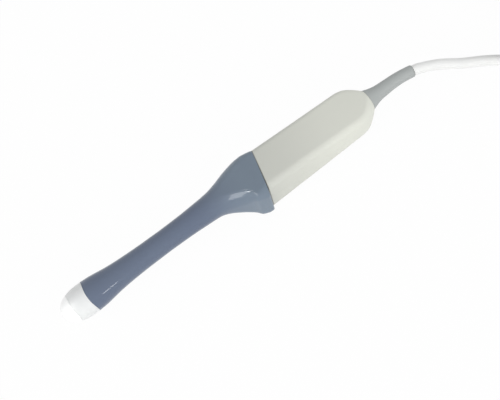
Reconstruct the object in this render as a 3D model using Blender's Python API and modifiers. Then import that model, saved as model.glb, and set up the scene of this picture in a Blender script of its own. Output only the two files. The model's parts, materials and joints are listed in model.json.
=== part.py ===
"""Endocavity ultrasound transducer probe with its cable and system connector.

The probe is modelled along its own X axis, lens towards +X, and is then laid on the
floor: bell and nose touch z = 0. All sizes are in metres.
"""

import math

import bmesh
import bpy
from mathutils import Matrix, Vector

# Clearances
GAP = 0.0003                      # between pieces that seat on each other

# Handle, a rounded box that gets thinner towards the cable
HANDLE_WIDTH = 0.0344
HANDLE_FRONT_DEPTH = 0.0306
HANDLE_TAPER = 0.118              # depth lost per metre of length
HANDLE_CORNER = 0.0050
HANDLE_LENGTH = 0.0968            # joint to the flat rear end
HANDLE_DOME = 0.0188              # length of the rounded rear
HANDLE_REAR_RADIUS = 0.0082
HANDLE_WALL = 0.0020
LIP_THICKNESS = 0.0007            # outer lip of the seam between the two halves
LIP_HEIGHT = 0.0015

# Slanted joint between bell and handle
JOINT_SLANT = math.radians(15.4)
JOINT_X = 0.0005
SEAL_THICKNESS = 0.0005
SEAL_INSET = 0.0005
SPIGOT_LENGTH = 0.0080
SPIGOT_WALL = 0.0015
SPIGOT_CORNER = 0.0054
SOCKET_STEP = 0.0016              # how far the socket lies inside the handle's outline
SOCKET_RUN_OUT = 0.0020           # how much deeper the socket is than the spigot

# Bell
BELL_FRONT = 0.0460
RIM_NEAR = HANDLE_WIDTH / 2 + 0.0030   # rim's reach on the side that stands proud
RIM_FAR = HANDLE_WIDTH / 2 + 0.0005
RIM_DEPTH = HANDLE_FRONT_DEPTH + 0.0012
RIM_CORNER = 0.0062
RIM_ROUND = 0.0014                # rounding of the rim's edge, less on its far side
RIM_ROUND_FAR_SHARE = 0.3

# Shaft
SHAFT_OFFSET = -0.0061            # shaft axis from the handle's middle
SHAFT_WALL = 0.0018
SHAFT_BELL_RADIUS = 0.0097
NECK_X = 0.0840
NECK_RADIUS = 0.0084

# Nose
NOSE_X = 0.1530                   # blue shell's end at the narrow sides
SHELL_WRAP = 0.0046               # how much further it reaches on the broad sides
LENS_WRAP = 0.0019                # the same for the nose ring's front edge
NOSE_ROLL = math.radians(28)      # how far the broad sides are turned about the shaft's axis
NOSE_RADIUS = 0.0124
NOSE_SHOULDER = 0.1560
NOSE_TIP = 0.1762
NOSE_FULLNESS = 2.2               # 2 is half an ellipse, more is blunter
LENS_X = 0.1668                   # front face of the nose ring
NOSE_WALL = 0.0013
NOSE_FRONT_BORE = 0.0098
NOSE_SPIGOT_WALL = 0.0013

# Array, layers bent round one axis
ARRAY_X = 0.1640
ARRAY_RADIUS = 0.0094             # inside of the lens
ARRAY_HEIGHT = 0.0070
ARRAY_SWEEP = math.radians(148)
MATCHING_THICKNESS = 0.00035
PIEZO_THICKNESS = 0.0006
BACKING_REAR = 0.1562
CARRIER_LENGTH = 0.0110
FLEX_WIDTH = 0.0080
FLEX_THICKNESS = 0.0003
FLEX_REAR = 0.1243
SHIELD_WALL = 0.0005
SHIELD_FRONT = 0.1200
SHIELD_REAR = 0.0500

# Boards in the handle
CHASSIS_FRONT = -0.0060
CHASSIS_TO_FERRULE = 0.0120
CHASSIS_THICKNESS = 0.0024
BOSS_RADIUS = 0.0024
BOSS_HEIGHT = 0.0020
BOARD_LENGTH = 0.0520
BOARD_WIDTH = 0.0240
BOARD_THICKNESS = 0.0012
HEADER_SIZE = (0.0300, 0.0060, 0.0030)
SCREW_RADIUS = 0.0008
SCREW_HEAD_RADIUS = 0.0016
SCREW_HEAD_HEIGHT = 0.0010

# Cable and its boot
CABLE_RADIUS = 0.0040
CORE_RADIUS = 0.0036
BOOT_LENGTH = 0.0384
BOOT_BASE_RADIUS = HANDLE_REAR_RADIUS + 0.0001
BOOT_END_RADIUS = 0.00465
BOOT_NECK_RADIUS = 0.0057
BOOT_STRAIGHT = 0.0182            # handle's rear end to where the boot starts to bend
CABLE_BEND = 5.0                  # sideways bend, per metre
CABLE_SAG = 1.9                   # downward bend, per metre
FERRULE_WALL = 0.0009
FERRULE_LENGTH = 0.0100
FERRULE_SETBACK = 0.0040         # ferrule's middle behind the start of the rounded rear
CLAMP_LENGTH = 0.0080
CLAMP_WIDTH = 0.0200
CLAMP_SCREW_SPREAD = 0.0148

# Stored coil
COIL_OFFSET = (-0.12684, 0.03115) # coil's middle from the boot's end
COIL_OUTER = 0.0480               # middle of the outermost turn
COIL_COLUMNS = 3
COIL_LAYERS = 4
TIE_THICKNESS = 0.0012
TIE_WIDTH = 0.0140

# System connector, lying face down, cable towards +X
CONNECTOR_OFFSET = (-0.1395, 0.0220)  # from the coil's middle
CONNECTOR_LENGTH = 0.0960
CONNECTOR_WIDTH = 0.0580
CONNECTOR_HEIGHT = 0.0420
CONNECTOR_SEAM = 0.0240
CONNECTOR_WALL = 0.0025
CONNECTOR_CORNER = 0.0080
CONNECTOR_POST = 0.0070
CONNECTOR_EDGE = 0.0030           # softened upper edge
GRIP_COUNT = 7
GRIP_PITCH = 0.0050
GRIP_DEPTH = 0.0008
SLOT_ROWS = 4                     # contact slots on each side of the lock
SHROUD_LENGTH = 0.0620
SHROUD_WIDTH = 0.0340
SHROUD_DEPTH = 0.0060
SHROUD_FLOOR = 0.0025
SHIELD_FRAME_WALL = 0.0006
BLOCK_MARGIN = 0.0030
BLOCK_FLANGE = 0.0024
LOCK_RADIUS = 0.0040
CAM_SIZE = (0.0160, 0.0050, 0.0025)
KNOB_RADIUS = 0.0150
KNOB_HEIGHT = 0.0080
CONNECTOR_BOOT_LENGTH = 0.0240

ARC_STEPS = 8                     # segments in a quarter of a section's corner

# Places that follow from the sizes
FERRULE_X = -(HANDLE_LENGTH - HANDLE_DOME + FERRULE_SETBACK)
CHASSIS_REAR = FERRULE_X + CHASSIS_TO_FERRULE
BOARD_X = (CHASSIS_FRONT + CHASSIS_REAR) / 2
BOOT_BEND_X = -(HANDLE_LENGTH + BOOT_STRAIGHT)


# Scene, collections and materials

def clear_scene():
    for thing in list(bpy.data.objects):
        bpy.data.objects.remove(thing, do_unlink=True)


def new_collection(name):
    group = bpy.data.collections.new(name)
    bpy.context.scene.collection.children.link(group)
    return group


def new_material(name, colour, roughness, metallic=0.0):
    made = bpy.data.materials.new(name)
    made.use_nodes = True
    shader = made.node_tree.nodes["Principled BSDF"]
    shader.inputs["Base Color"].default_value = (*colour, 1.0)
    shader.inputs["Roughness"].default_value = roughness
    shader.inputs["Metallic"].default_value = metallic
    return made


clear_scene()
PARTS = new_collection("ultrasound_transducer_probe")
CUTTERS = new_collection("cutters")

WHITE_LENS = new_material("white_lens", (0.88, 0.90, 0.91), 0.35)
NOSE_GREY = new_material("nose_grey", (0.78, 0.81, 0.82), 0.35)
BLUE = new_material("slate_blue", (0.18, 0.22, 0.30), 0.30)
OFF_WHITE = new_material("off_white", (0.62, 0.63, 0.57), 0.45)
GREY_RUBBER = new_material("grey_rubber", (0.40, 0.43, 0.42), 0.60)
DARK_RUBBER = new_material("dark_rubber", (0.08, 0.08, 0.09), 0.70)
CABLE_WHITE = new_material("cable_white", (0.80, 0.80, 0.76), 0.45)
COPPER = new_material("copper", (0.72, 0.38, 0.22), 0.35, 1.0)
STEEL = new_material("steel", (0.60, 0.60, 0.62), 0.30, 1.0)
BOARD_GREEN = new_material("board_green", (0.04, 0.22, 0.10), 0.50)
BLACK_PLASTIC = new_material("black_plastic", (0.04, 0.04, 0.05), 0.45)
AMBER_FILM = new_material("amber_film", (0.65, 0.30, 0.06), 0.35)
CERAMIC = new_material("ceramic", (0.55, 0.52, 0.42), 0.50)
EPOXY = new_material("dark_epoxy", (0.10, 0.10, 0.11), 0.60)

PROBE = bpy.data.objects.new("probe_rest", None)
PARTS.objects.link(PROBE)
PLUG = bpy.data.objects.new("connector_base", None)
PARTS.objects.link(PLUG)


# Shapes

def add(name, mesh, look, parent, group=None):
    """Link a mesh as a named piece under its parent empty."""
    piece = bpy.data.objects.new(name, mesh)
    (group or PARTS).objects.link(piece)
    piece.parent = parent
    if look:
        mesh.materials.append(look)
    return piece


def smooth(piece, angle=35):
    piece.data.shade_smooth()
    piece.data.set_sharp_from_angle(angle=math.radians(angle))


def box_mesh(name, size, centre):
    shape = bmesh.new()
    bmesh.ops.create_cube(shape, size=1.0)
    bmesh.ops.scale(shape, vec=size, verts=shape.verts)
    bmesh.ops.translate(shape, vec=centre, verts=shape.verts)
    mesh = bpy.data.meshes.new(name)
    shape.to_mesh(mesh)
    shape.free()
    return mesh


def span_mesh(name, low, high):
    """A box given by its lowest and highest corners."""
    size = [b - a for a, b in zip(low, high)]
    centre = [(a + b) / 2 for a, b in zip(low, high)]
    return box_mesh(name, size, centre)


def rod_mesh(name, radius, start, end, segments=24, end_radius=None):
    """A round bar or cone between two points."""
    start, end = Vector(start), Vector(end)
    turn = (end - start).to_track_quat("Z", "Y").to_matrix().to_4x4()
    shape = bmesh.new()
    bmesh.ops.create_cone(
        shape,
        cap_ends=True,
        segments=segments,
        radius1=radius,
        radius2=radius if end_radius is None else end_radius,
        depth=(end - start).length,
        matrix=Matrix.Translation((start + end) / 2) @ turn,
    )
    mesh = bpy.data.meshes.new(name)
    shape.to_mesh(mesh)
    shape.free()
    return mesh


def loft(name, rings, closed=False):
    """A skin through rings of equally many points, capped, or closed on itself like a tube wall."""
    shape = bmesh.new()
    rows = [[shape.verts.new(point) for point in ring] for ring in rings]
    pairs = list(zip(rows, rows[1:])) + ([(rows[-1], rows[0])] if closed else [])
    for one, two in pairs:
        for k in range(len(one)):
            n = (k + 1) % len(one)
            shape.faces.new((one[k], one[n], two[n], two[k]))
    if not closed:
        shape.faces.new(rows[0])
        shape.faces.new(rows[-1][::-1])
    bmesh.ops.recalc_face_normals(shape, faces=shape.faces)
    mesh = bpy.data.meshes.new(name)
    shape.to_mesh(mesh)
    shape.free()
    return mesh


def turned(name, profile, look, parent, axis="X", segments=32, at=(0.0, 0.0, 0.0)):
    """A closed profile of (along, radius) points turned round an axis through at."""
    rings = []
    for k in range(segments):
        angle = 2 * math.pi * k / segments
        c, s = math.cos(angle), math.sin(angle)
        if axis == "X":
            ring = [(at[0] + a, at[1] + r * c, at[2] + r * s) for a, r in profile]
        else:
            ring = [(at[0] + r * c, at[1] + r * s, at[2] + a) for a, r in profile]
        rings.append(ring)
    piece = add(name, loft(name, rings, closed=True), look, parent)
    smooth(piece)
    return piece


def cut(piece, mesh, parent, operation="DIFFERENCE"):
    """Cut a piece with a mesh, or join the mesh to it; the cutter stays in its own collection."""
    tool = add(mesh.name, mesh, None, parent, CUTTERS)
    tool.hide_render = True
    tool.display_type = "WIRE"
    change = piece.modifiers.new(mesh.name, "BOOLEAN")
    change.operation = operation
    change.solver = "EXACT"
    change.object = tool
    return piece


def bevel(piece, width, segments=2, angle=40):
    edge = piece.modifiers.new("edges", "BEVEL")
    edge.width = width
    edge.segments = segments
    edge.limit_method = "ANGLE"
    edge.angle_limit = math.radians(angle)
    return edge


def tube(name, points, radius, look, parent, resolution=3):
    """A round cord along points."""
    curve = bpy.data.curves.new(name, "CURVE")
    curve.dimensions = "3D"
    curve.bevel_depth = radius
    curve.bevel_resolution = resolution
    curve.use_fill_caps = True
    line = curve.splines.new("POLY")
    line.points.add(len(points) - 1)
    for spot, point in zip(line.points, points):
        spot.co = (*point, 1.0)
    curve.materials.append(look)
    piece = bpy.data.objects.new(name, curve)
    PARTS.objects.link(piece)
    piece.parent = parent
    return piece


# Curves through chosen values

def blend(values, where):
    """Smooth curve through (place, value, ...) rows, read at a place."""
    rows = sorted(values)
    if where <= rows[0][0]:
        return rows[0][1:]
    if where >= rows[-1][0]:
        return rows[-1][1:]
    k = next(i for i in range(len(rows) - 1) if where <= rows[i + 1][0])
    low, high = rows[k], rows[k + 1]
    before = rows[max(k - 1, 0)]
    after = rows[min(k + 2, len(rows) - 1)]
    span = high[0] - low[0]
    u = (where - low[0]) / span
    found = []
    for c in range(1, len(low)):
        m0 = (high[c] - before[c]) / (high[0] - before[0]) * span
        m1 = (after[c] - low[c]) / (after[0] - low[0]) * span
        a = (2 * u**3 - 3 * u**2 + 1) * low[c] + (u**3 - 2 * u**2 + u) * m0
        b = (3 * u**2 - 2 * u**3) * high[c] + (u**3 - u**2) * m1
        found.append(a + b)
    return tuple(found)


def mix(a, b, share):
    return a + (b - a) * share


def section(far, near, depth, corner, x_far, x_near, ridge=None, steps=ARC_STEPS):
    """Points of a rounded rectangle from y far to y near, whose plane may slant along X.

    The corner at the top of the near side gets the radius ridge where one is given.
    """
    half = depth / 2
    wide = (near - far) / 2
    middle = (near + far) / 2
    largest = min(half, wide) - 0.00015
    points = []
    for quarter, (sy, sz) in enumerate(((1, 1), (-1, 1), (-1, -1), (1, -1))):
        radius = min(ridge if ridge and quarter == 0 else corner, largest)
        for k in range(steps + 1):
            angle = math.pi / 2 * (quarter + k / steps)
            y = middle + sy * (wide - radius) + radius * math.cos(angle)
            z = sz * (half - radius) + radius * math.sin(angle)
            points.append((mix(x_far, x_near, (y - far) / (near - far)), y, z))
    return points


def circle(x, y, z, radius, segments=4 * (ARC_STEPS + 1)):
    turn = [2 * math.pi * k / segments for k in range(segments)]
    return [(x, y + radius * math.cos(a), z + radius * math.sin(a)) for a in turn]


# Joint plane between bell and handle

def joint_x(y, offset=0.0):
    return JOINT_X + offset + math.tan(JOINT_SLANT) * y


SOCKET_HALF = HANDLE_WIDTH / 2 - SOCKET_STEP
SOCKET_DEPTH = min(HANDLE_FRONT_DEPTH, RIM_DEPTH) - 2 * SOCKET_STEP


# Blue shell: nose end, shaft, bell and rim in one moulding

# Share of the way from neck to nose radius, by share of the distance
SHAFT_TO_NOSE = ((0, 0), (0.30, 0.076), (0.52, 0.23), (0.69, 0.45), (0.80, 0.70), (0.90, 0.92), (1, 1))
SHAFT_TO_BELL = ((0, 0), (0.52, 0.28), (1, 1))
SHAFT_STATION_SHARES = (0.0, 0.05, 0.10, 0.15, 0.21, 0.28, 0.37, 0.5, 0.65, 0.8, 0.9)
# Bell: near place, far place, near reach, far reach, depth and squareness as shares, then the
# radius of the ridge between its top and its near side
BELL_FORM = (
    (0.00, 0.00, 0.00, 0.00, 0.00, 0.00, 0.0097),
    (0.15, 0.14, 0.035, 0.37, 0.10, 0.05, 0.0088),
    (0.30, 0.29, 0.16, 1.10, 0.26, 0.20, 0.0070),
    (0.45, 0.45, 0.35, 2.05, 0.47, 0.40, 0.0056),
    (0.575, 0.59, 0.53, 2.60, 0.66, 0.55, 0.0052),
    (0.686, 0.70, 0.73, 2.70, 0.82, 0.70, 0.0052),
    (0.765, 0.79, 0.915, 2.52, 0.92, 0.80, 0.0054),
    (0.810, 0.83, 0.985, 2.32, 0.96, 0.88, 0.0056),
    (1.00, 1.00, 1.00, 1.00, 1.00, 1.00, 0.0060),
)
RIM_EDGE_RINGS = (0.985, 0.992, 0.997)  # places of the extra rings that round the rim's edge
BELL_RINGS = 22


def shaft_radius(x):
    if x >= NECK_X:
        share = blend(SHAFT_TO_NOSE, (x - NECK_X) / (NOSE_X - NECK_X))[0]
        return mix(NECK_RADIUS, NOSE_RADIUS, share)
    share = blend(SHAFT_TO_BELL, (NECK_X - x) / (NECK_X - BELL_FRONT))[0]
    return mix(NECK_RADIUS, SHAFT_BELL_RADIUS, share)


def nose_radius(x):
    """Outline of the nose: straight to the shoulder, then half a blunt ellipsoid."""
    if x <= NOSE_SHOULDER:
        return NOSE_RADIUS
    share = (x - NOSE_SHOULDER) / (NOSE_TIP - NOSE_SHOULDER)
    return NOSE_RADIUS * max(0.0, 1 - share**NOSE_FULLNESS) ** (1 / NOSE_FULLNESS)


def round_section(x, radius, wrap=0.0):
    """A circle on the shaft's axis, whose broad sides may reach further along X."""
    ring = []
    for px, py, pz in circle(x, SHAFT_OFFSET, 0.0, radius):
        broad = ((py - SHAFT_OFFSET) * math.sin(NOSE_ROLL) + pz * math.cos(NOSE_ROLL)) / radius
        ring.append((px + wrap * broad**2, py, pz))
    return ring


def bell_sizes(k):
    """Far, near, depth, corner, ridge and the two places of the bell's outline at ring k."""
    form = [(i / (len(BELL_FORM) - 1), *row) for i, row in enumerate(BELL_FORM)]
    at_near, at_far, rise, fall, deep, square, ridge = blend(form, k / BELL_RINGS)
    near = mix(SHAFT_OFFSET + SHAFT_BELL_RADIUS, RIM_NEAR, rise)
    far = mix(SHAFT_OFFSET - SHAFT_BELL_RADIUS, -RIM_FAR, fall)
    depth = mix(2 * SHAFT_BELL_RADIUS, RIM_DEPTH, deep)
    corner = mix(depth / 2, RIM_CORNER, square)
    x_near = mix(BELL_FRONT, joint_x(RIM_NEAR), at_near)
    x_far = mix(BELL_FRONT, joint_x(-RIM_FAR), at_far)
    return far, near, depth, corner, ridge, x_far, x_near


def bell_ring(k, wall=0.0):
    far, near, depth, corner, ridge, x_far, x_near = bell_sizes(k)
    if not wall:
        to_joint = min(1.0, max(0.0, 1 - (x_near - joint_x(RIM_NEAR)) / RIM_ROUND))
        inset = RIM_ROUND * (1 - math.sqrt(1 - to_joint**2))
        far += RIM_ROUND_FAR_SHARE * inset
        return section(far, near - inset, depth - inset, corner, x_far, x_near, ridge)
    inner_far = far + wall
    inner_near = near - wall
    if x_far < joint_x(-RIM_FAR) + SPIGOT_LENGTH + SOCKET_RUN_OUT:
        inner_far = max(inner_far, -SOCKET_HALF)
    if x_near < joint_x(RIM_NEAR) + SPIGOT_LENGTH + SOCKET_RUN_OUT:
        inner_near = min(inner_near, SOCKET_HALF)
    lean = (x_near - x_far) / (near - far)
    return section(
        inner_far,
        inner_near,
        min(depth - 2 * wall, SOCKET_DEPTH),
        corner - wall,
        x_far + lean * (inner_far - far),
        x_far + lean * (inner_near - far),
        ridge - wall,
    )


def shaft_stations():
    reach = NOSE_X - BELL_FRONT
    return [NOSE_X - reach * share for share in SHAFT_STATION_SHARES]


def wrap_at(x):
    """How far the broad sides run ahead at station x: most at the shell's end, soon nothing."""
    if x <= NOSE_X:
        return SHELL_WRAP * max(0.0, 1 - (NOSE_X - x) / (0.2 * (NOSE_X - BELL_FRONT)))
    if x <= LENS_X:
        return mix(SHELL_WRAP, LENS_WRAP, (x - NOSE_X) / (LENS_X - NOSE_X))
    return LENS_WRAP * max(0.0, 1 - (x - LENS_X) / (NOSE_TIP - LENS_X))


def spigot_stations():
    return shaft_stations()[:4]


def make_shaft_shell():
    outer = []
    inner = []
    for x in shaft_stations():
        outer.append(round_section(x, shaft_radius(x), wrap_at(x)))
        inner.append(round_section(x, shaft_radius(x) - SHAFT_WALL, wrap_at(x)))
    for k in range(BELL_RINGS):
        outer.append(bell_ring(k))
        inner.append(bell_ring(k, SHAFT_WALL))
    for share in RIM_EDGE_RINGS:
        outer.append(bell_ring(share * BELL_RINGS))
    outer.append(bell_ring(BELL_RINGS))
    inner.append(bell_ring(BELL_RINGS, SHAFT_WALL))
    piece = add("shaft_shell", loft("shaft_shell", outer + inner[::-1], closed=True), BLUE, PROBE)
    smooth(piece, 30)


# Nose and lens

def make_nose():
    rings = []
    for share in (0.0, 0.2, 0.4, 0.6, 0.8, 0.93, 1.0):
        x = mix(NOSE_X + GAP, LENS_X, share)
        rings.append(round_section(x, nose_radius(x), wrap_at(x)))
    inset = SHAFT_WALL + GAP
    chamber = NOSE_RADIUS - inset - NOSE_WALL
    spigot_x = spigot_stations()[-1]
    bore = shaft_radius(spigot_x) - inset - NOSE_SPIGOT_WALL
    step_x = LENS_X - 0.0035
    rings.append(round_section(LENS_X, NOSE_FRONT_BORE, LENS_WRAP))
    rings.append(round_section(step_x, NOSE_FRONT_BORE))
    rings.append(round_section(step_x - (NOSE_FRONT_BORE - chamber), chamber))
    rings.append(round_section(BACKING_REAR, chamber))
    rings.append(round_section(BACKING_REAR - GAP, bore))
    rings.append(round_section(spigot_x, bore))
    for x in spigot_stations()[::-1]:
        rings.append(round_section(x, shaft_radius(x) - inset, wrap_at(x)))
    rings.append(round_section(NOSE_X + GAP, NOSE_RADIUS - inset, SHELL_WRAP))
    piece = add("nose_ring", loft("nose_ring", rings, closed=True), NOSE_GREY, PROBE)
    smooth(piece, 30)


def array_outline(radius, start, end, steps=24):
    """Points on an arc of the array, from one side to the other."""
    points = []
    for k in range(steps + 1):
        angle = mix(start, end, k / steps)
        points.append((ARRAY_X + radius * math.cos(angle), SHAFT_OFFSET + radius * math.sin(angle)))
    return points


def slab(name, outline, low, high, look, parent=PROBE):
    """A flat outline in the floor's plane, made thick from low to high by a filled 2D curve."""
    curve = bpy.data.curves.new(name, "CURVE")
    curve.dimensions = "2D"
    curve.fill_mode = "BOTH"
    curve.extrude = (high - low) / 2
    line = curve.splines.new("POLY")
    line.points.add(len(outline) - 1)
    line.use_cyclic_u = True
    for spot, (x, y) in zip(line.points, outline):
        spot.co = (x, y, 0.0, 1.0)
    curve.materials.append(look)
    piece = bpy.data.objects.new(name, curve)
    PARTS.objects.link(piece)
    piece.parent = parent
    piece.location = (0.0, 0.0, (low + high) / 2)
    return piece


def layer_radii():
    """Outer and inner radius of each layer, from the lens inwards."""
    radii = {}
    outer = ARRAY_RADIUS - GAP
    for name, thick in (
        ("outer_matching_layer", MATCHING_THICKNESS),
        ("inner_matching_layer", MATCHING_THICKNESS),
        ("piezo_array", PIEZO_THICKNESS),
    ):
        radii[name] = (outer, outer - thick)
        outer -= thick + GAP
    radii["backing_block"] = (outer, 0.0)
    return radii


def make_lens():
    rear = LENS_X + GAP
    rings = [
        round_section(rear, NOSE_FRONT_BORE / 2),
        round_section(rear, NOSE_FRONT_BORE - GAP, LENS_WRAP),
    ]
    for share in (0.0, 0.2, 0.4, 0.58, 0.74, 0.86, 0.94, 0.985):
        x = mix(rear, NOSE_TIP, share)
        rings.append(round_section(x, nose_radius(x), wrap_at(x)))
    piece = add("acoustic_lens", loft("acoustic_lens", rings), WHITE_LENS, PROBE)
    half = ARRAY_HEIGHT / 2 + GAP
    pocket = rod_mesh(
        "lens_pocket",
        ARRAY_RADIUS,
        (ARRAY_X, SHAFT_OFFSET, -half),
        (ARRAY_X, SHAFT_OFFSET, half),
        48,
    )
    cut(piece, pocket, PROBE)
    smooth(piece, 30)


def make_array():
    half = ARRAY_HEIGHT / 2
    radii = layer_radii()
    looks = {"outer_matching_layer": EPOXY, "inner_matching_layer": AMBER_FILM, "piezo_array": CERAMIC}
    for name, look in looks.items():
        outer, inner = radii[name]
        sweep = ARRAY_SWEEP / 2
        outline = array_outline(outer, -sweep, sweep) + array_outline(inner, sweep, -sweep)
        slab(name, outline, -half, half, look)
    back = radii["backing_block"][0]
    outline = array_outline(back, -math.pi / 2, math.pi / 2)
    outline += [(BACKING_REAR, SHAFT_OFFSET + back), (BACKING_REAR, SHAFT_OFFSET - back)]
    slab("backing_block", outline, -half, half, EPOXY)


def make_carrier_and_flexes():
    spigot_bore = shaft_radius(spigot_stations()[-1]) - SHAFT_WALL - GAP - NOSE_SPIGOT_WALL
    front = BACKING_REAR - GAP
    centre = (front - CARRIER_LENGTH / 2, SHAFT_OFFSET, 0.0)
    body = rod_mesh(
        "array_carrier",
        spigot_bore - GAP,
        (front - CARRIER_LENGTH, SHAFT_OFFSET, 0.0),
        (front, SHAFT_OFFSET, 0.0),
        32,
    )
    carrier = add("array_carrier", body, BLACK_PLASTIC, PROBE)
    tall = ARRAY_HEIGHT / 2 + GAP + FLEX_THICKNESS
    window = (2 * CARRIER_LENGTH, FLEX_WIDTH + 4 * GAP, 2 * (tall + GAP))
    cut(carrier, box_mesh("flex_window", window, centre), PROBE)
    front_of_flex = ARRAY_X - 0.001
    for name, side in (("upper_flex", 1), ("lower_flex", -1)):
        z = side * (ARRAY_HEIGHT / 2 + GAP + FLEX_THICKNESS / 2)
        size = (front_of_flex - FLEX_REAR, FLEX_WIDTH, FLEX_THICKNESS)
        centre = ((front_of_flex + FLEX_REAR) / 2, SHAFT_OFFSET, z)
        add(name, box_mesh(name, size, centre), AMBER_FILM, PROBE)


def make_shield_and_bundle():
    outer = NECK_RADIUS - SHAFT_WALL - GAP
    inner = outer - SHIELD_WALL
    profile = [(SHIELD_REAR, outer), (SHIELD_REAR, inner), (SHIELD_FRONT, inner), (SHIELD_FRONT, outer)]
    turned("shield_tube", profile, COPPER, PROBE, segments=24, at=(0.0, SHAFT_OFFSET, 0.0))
    rear = CHASSIS_FRONT + GAP
    turn_front = SHIELD_REAR - 0.004
    points = [(FLEX_REAR - GAP, SHAFT_OFFSET, 0.0), (SHIELD_REAR, SHAFT_OFFSET, 0.0)]
    steps = 8
    for k in range(steps + 1):
        share = k / steps
        ease = share * share * (3 - 2 * share)
        points.append((mix(turn_front, rear + 0.004, share), mix(SHAFT_OFFSET, 0.0, ease), 0.0))
    points.append((rear, 0.0, 0.0))
    tube("coax_bundle", points, inner - GAP, CABLE_WHITE, PROBE, 2)


# Handle

# Share of the way from the handle's section to the round rear end,
# first seen from above, then from the side
WIDE_FORM = (
    (0, 0), (0.18, 0.03), (0.36, 0.11), (0.52, 0.26), (0.67, 0.46), (0.81, 0.67), (0.93, 0.88), (1, 1),
)
DEEP_FORM = (
    (0, 0), (0.30, 0.02), (0.52, 0.09), (0.70, 0.24), (0.83, 0.46), (0.92, 0.70), (0.98, 0.90), (1, 1),
)


def handle_depth(x):
    return HANDLE_FRONT_DEPTH + HANDLE_TAPER * min(0.0, x)


def handle_sizes(x):
    """Half width, half depth and corner of the handle's outline at x."""
    start = -(HANDLE_LENGTH - HANDLE_DOME)
    place = max(0.0, (start - x) / HANDLE_DOME)
    inward = blend(WIDE_FORM, place)[0]
    down = blend(DEEP_FORM, place)[0]
    wide = mix(HANDLE_WIDTH / 2, HANDLE_REAR_RADIUS, inward)
    deep = mix(handle_depth(x) / 2, HANDLE_REAR_RADIUS - 0.0001, down)
    corner = mix(HANDLE_CORNER, HANDLE_REAR_RADIUS - 0.0003, inward)
    return wide, deep, corner


def half_ring(x, side, slant, outside=0.0, tongue=True):
    """Section of one handle half: outline, seam with lip or tongue, and inside."""
    wide, deep, corner = handle_sizes(x)
    wide, deep = wide - outside, deep - outside
    corner = SPIGOT_CORNER if outside else corner
    wall = SPIGOT_WALL if outside else HANDLE_WALL
    seam = GAP / 2
    points = []
    for inset, reverse in ((0.0, False), (wall, True)):
        w, d, c = wide - inset, deep - inset, max(corner - inset, 0.0004)
        arc = []
        for quarter in (0, 1):
            for k in range(ARC_STEPS + 1):
                angle = math.pi / 2 * (quarter + k / ARC_STEPS)
                sy = 1 if quarter == 0 else -1
                arc.append((sy * (w - c) + c * math.cos(angle), d - c + c * math.sin(angle)))
        points.append(arc[::-1] if reverse else arc)
    lip = LIP_THICKNESS if tongue else wall / 2
    high = LIP_HEIGHT if tongue else seam + 0.0001
    outline = []
    if side > 0:
        outline.append((wide, seam))
        outline += points[0]
        outline += [(-wide, seam), (-wide + lip, seam), (-wide + lip, high), (-wide + wall, high)]
        outline += points[1]
        outline += [(wide - wall, high), (wide - lip, high), (wide - lip, seam)]
    else:
        tip = high - GAP if tongue else -seam + 0.0001
        inner = lip + GAP if tongue else lip
        outline.append((wide, -seam))
        outline += [(y, -z) for y, z in points[0]]
        outline += [(-wide, -seam), (-wide + inner, -seam), (-wide + inner, tip), (-wide + wall, tip)]
        outline += [(y, -z) for y, z in points[1]]
        outline += [(wide - wall, tip), (wide - inner, tip), (wide - inner, -seam)]
    ring = []
    for y, z in outline:
        px = x + slant * y
        ring.append((px, y, z * handle_depth(px) / handle_depth(x) if not outside else z))
    return ring


def handle_rings(side):
    slant = math.tan(JOINT_SLANT)
    shoulder = JOINT_X - SEAL_THICKNESS - 2 * GAP
    step = SOCKET_STEP + GAP
    rings = [
        half_ring(shoulder + SPIGOT_LENGTH, side, slant, step),
        half_ring(shoulder + GAP / 2, side, slant, step),
        half_ring(shoulder, side, slant),
    ]
    start = -(HANDLE_LENGTH - HANDLE_DOME)
    for share in (0.12, 0.3, 0.6):
        rings.append(half_ring(mix(shoulder, start, share), side, slant * max(0.0, 1 - 2 * share)))
    for share in (0.0, 0.18, 0.36, 0.52, 0.67, 0.81, 0.90, 0.96, 1.0):
        rings.append(half_ring(start - HANDLE_DOME * share, side, 0.0))
    return rings


def half_shell(name, side):
    """Skin a handle half; its front and rear ends are closed by the section's own wall."""
    rings = handle_rings(side)
    shape = bmesh.new()
    rows = [[shape.verts.new(point) for point in ring] for ring in rings]
    count = len(rows[0])
    for one, two in zip(rows, rows[1:]):
        for k in range(count):
            n = (k + 1) % count
            shape.faces.new((one[k], one[n], two[n], two[k]))
    for row in (rows[0], rows[-1]):
        edges = [shape.edges.get((row[k], row[(k + 1) % count])) for k in range(count)]
        bmesh.ops.triangle_fill(shape, use_beauty=True, edges=edges)
    bmesh.ops.recalc_face_normals(shape, faces=shape.faces)
    mesh = bpy.data.meshes.new(name)
    shape.to_mesh(mesh)
    shape.free()
    piece = add(name, mesh, OFF_WHITE, PROBE)
    smooth(piece, 30)
    return piece


def make_seal():
    rings = []
    step = SOCKET_STEP + GAP
    shoulder = JOINT_X - SEAL_THICKNESS - GAP
    wide = HANDLE_WIDTH / 2
    for x, inset in (
        (shoulder + SEAL_THICKNESS, SEAL_INSET),
        (shoulder, SEAL_INSET),
        (shoulder, step - GAP),
        (shoulder + SEAL_THICKNESS, step - GAP),
    ):
        lean = math.tan(JOINT_SLANT) * (wide - inset)
        rings.append(
            section(
                -wide + inset,
                wide - inset,
                HANDLE_FRONT_DEPTH - 2 * inset,
                HANDLE_CORNER - inset,
                x - lean,
                x + lean,
            )
        )
    piece = add("rim_seal", loft("rim_seal", rings, closed=True), DARK_RUBBER, PROBE)
    smooth(piece, 30)


# Boards

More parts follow.
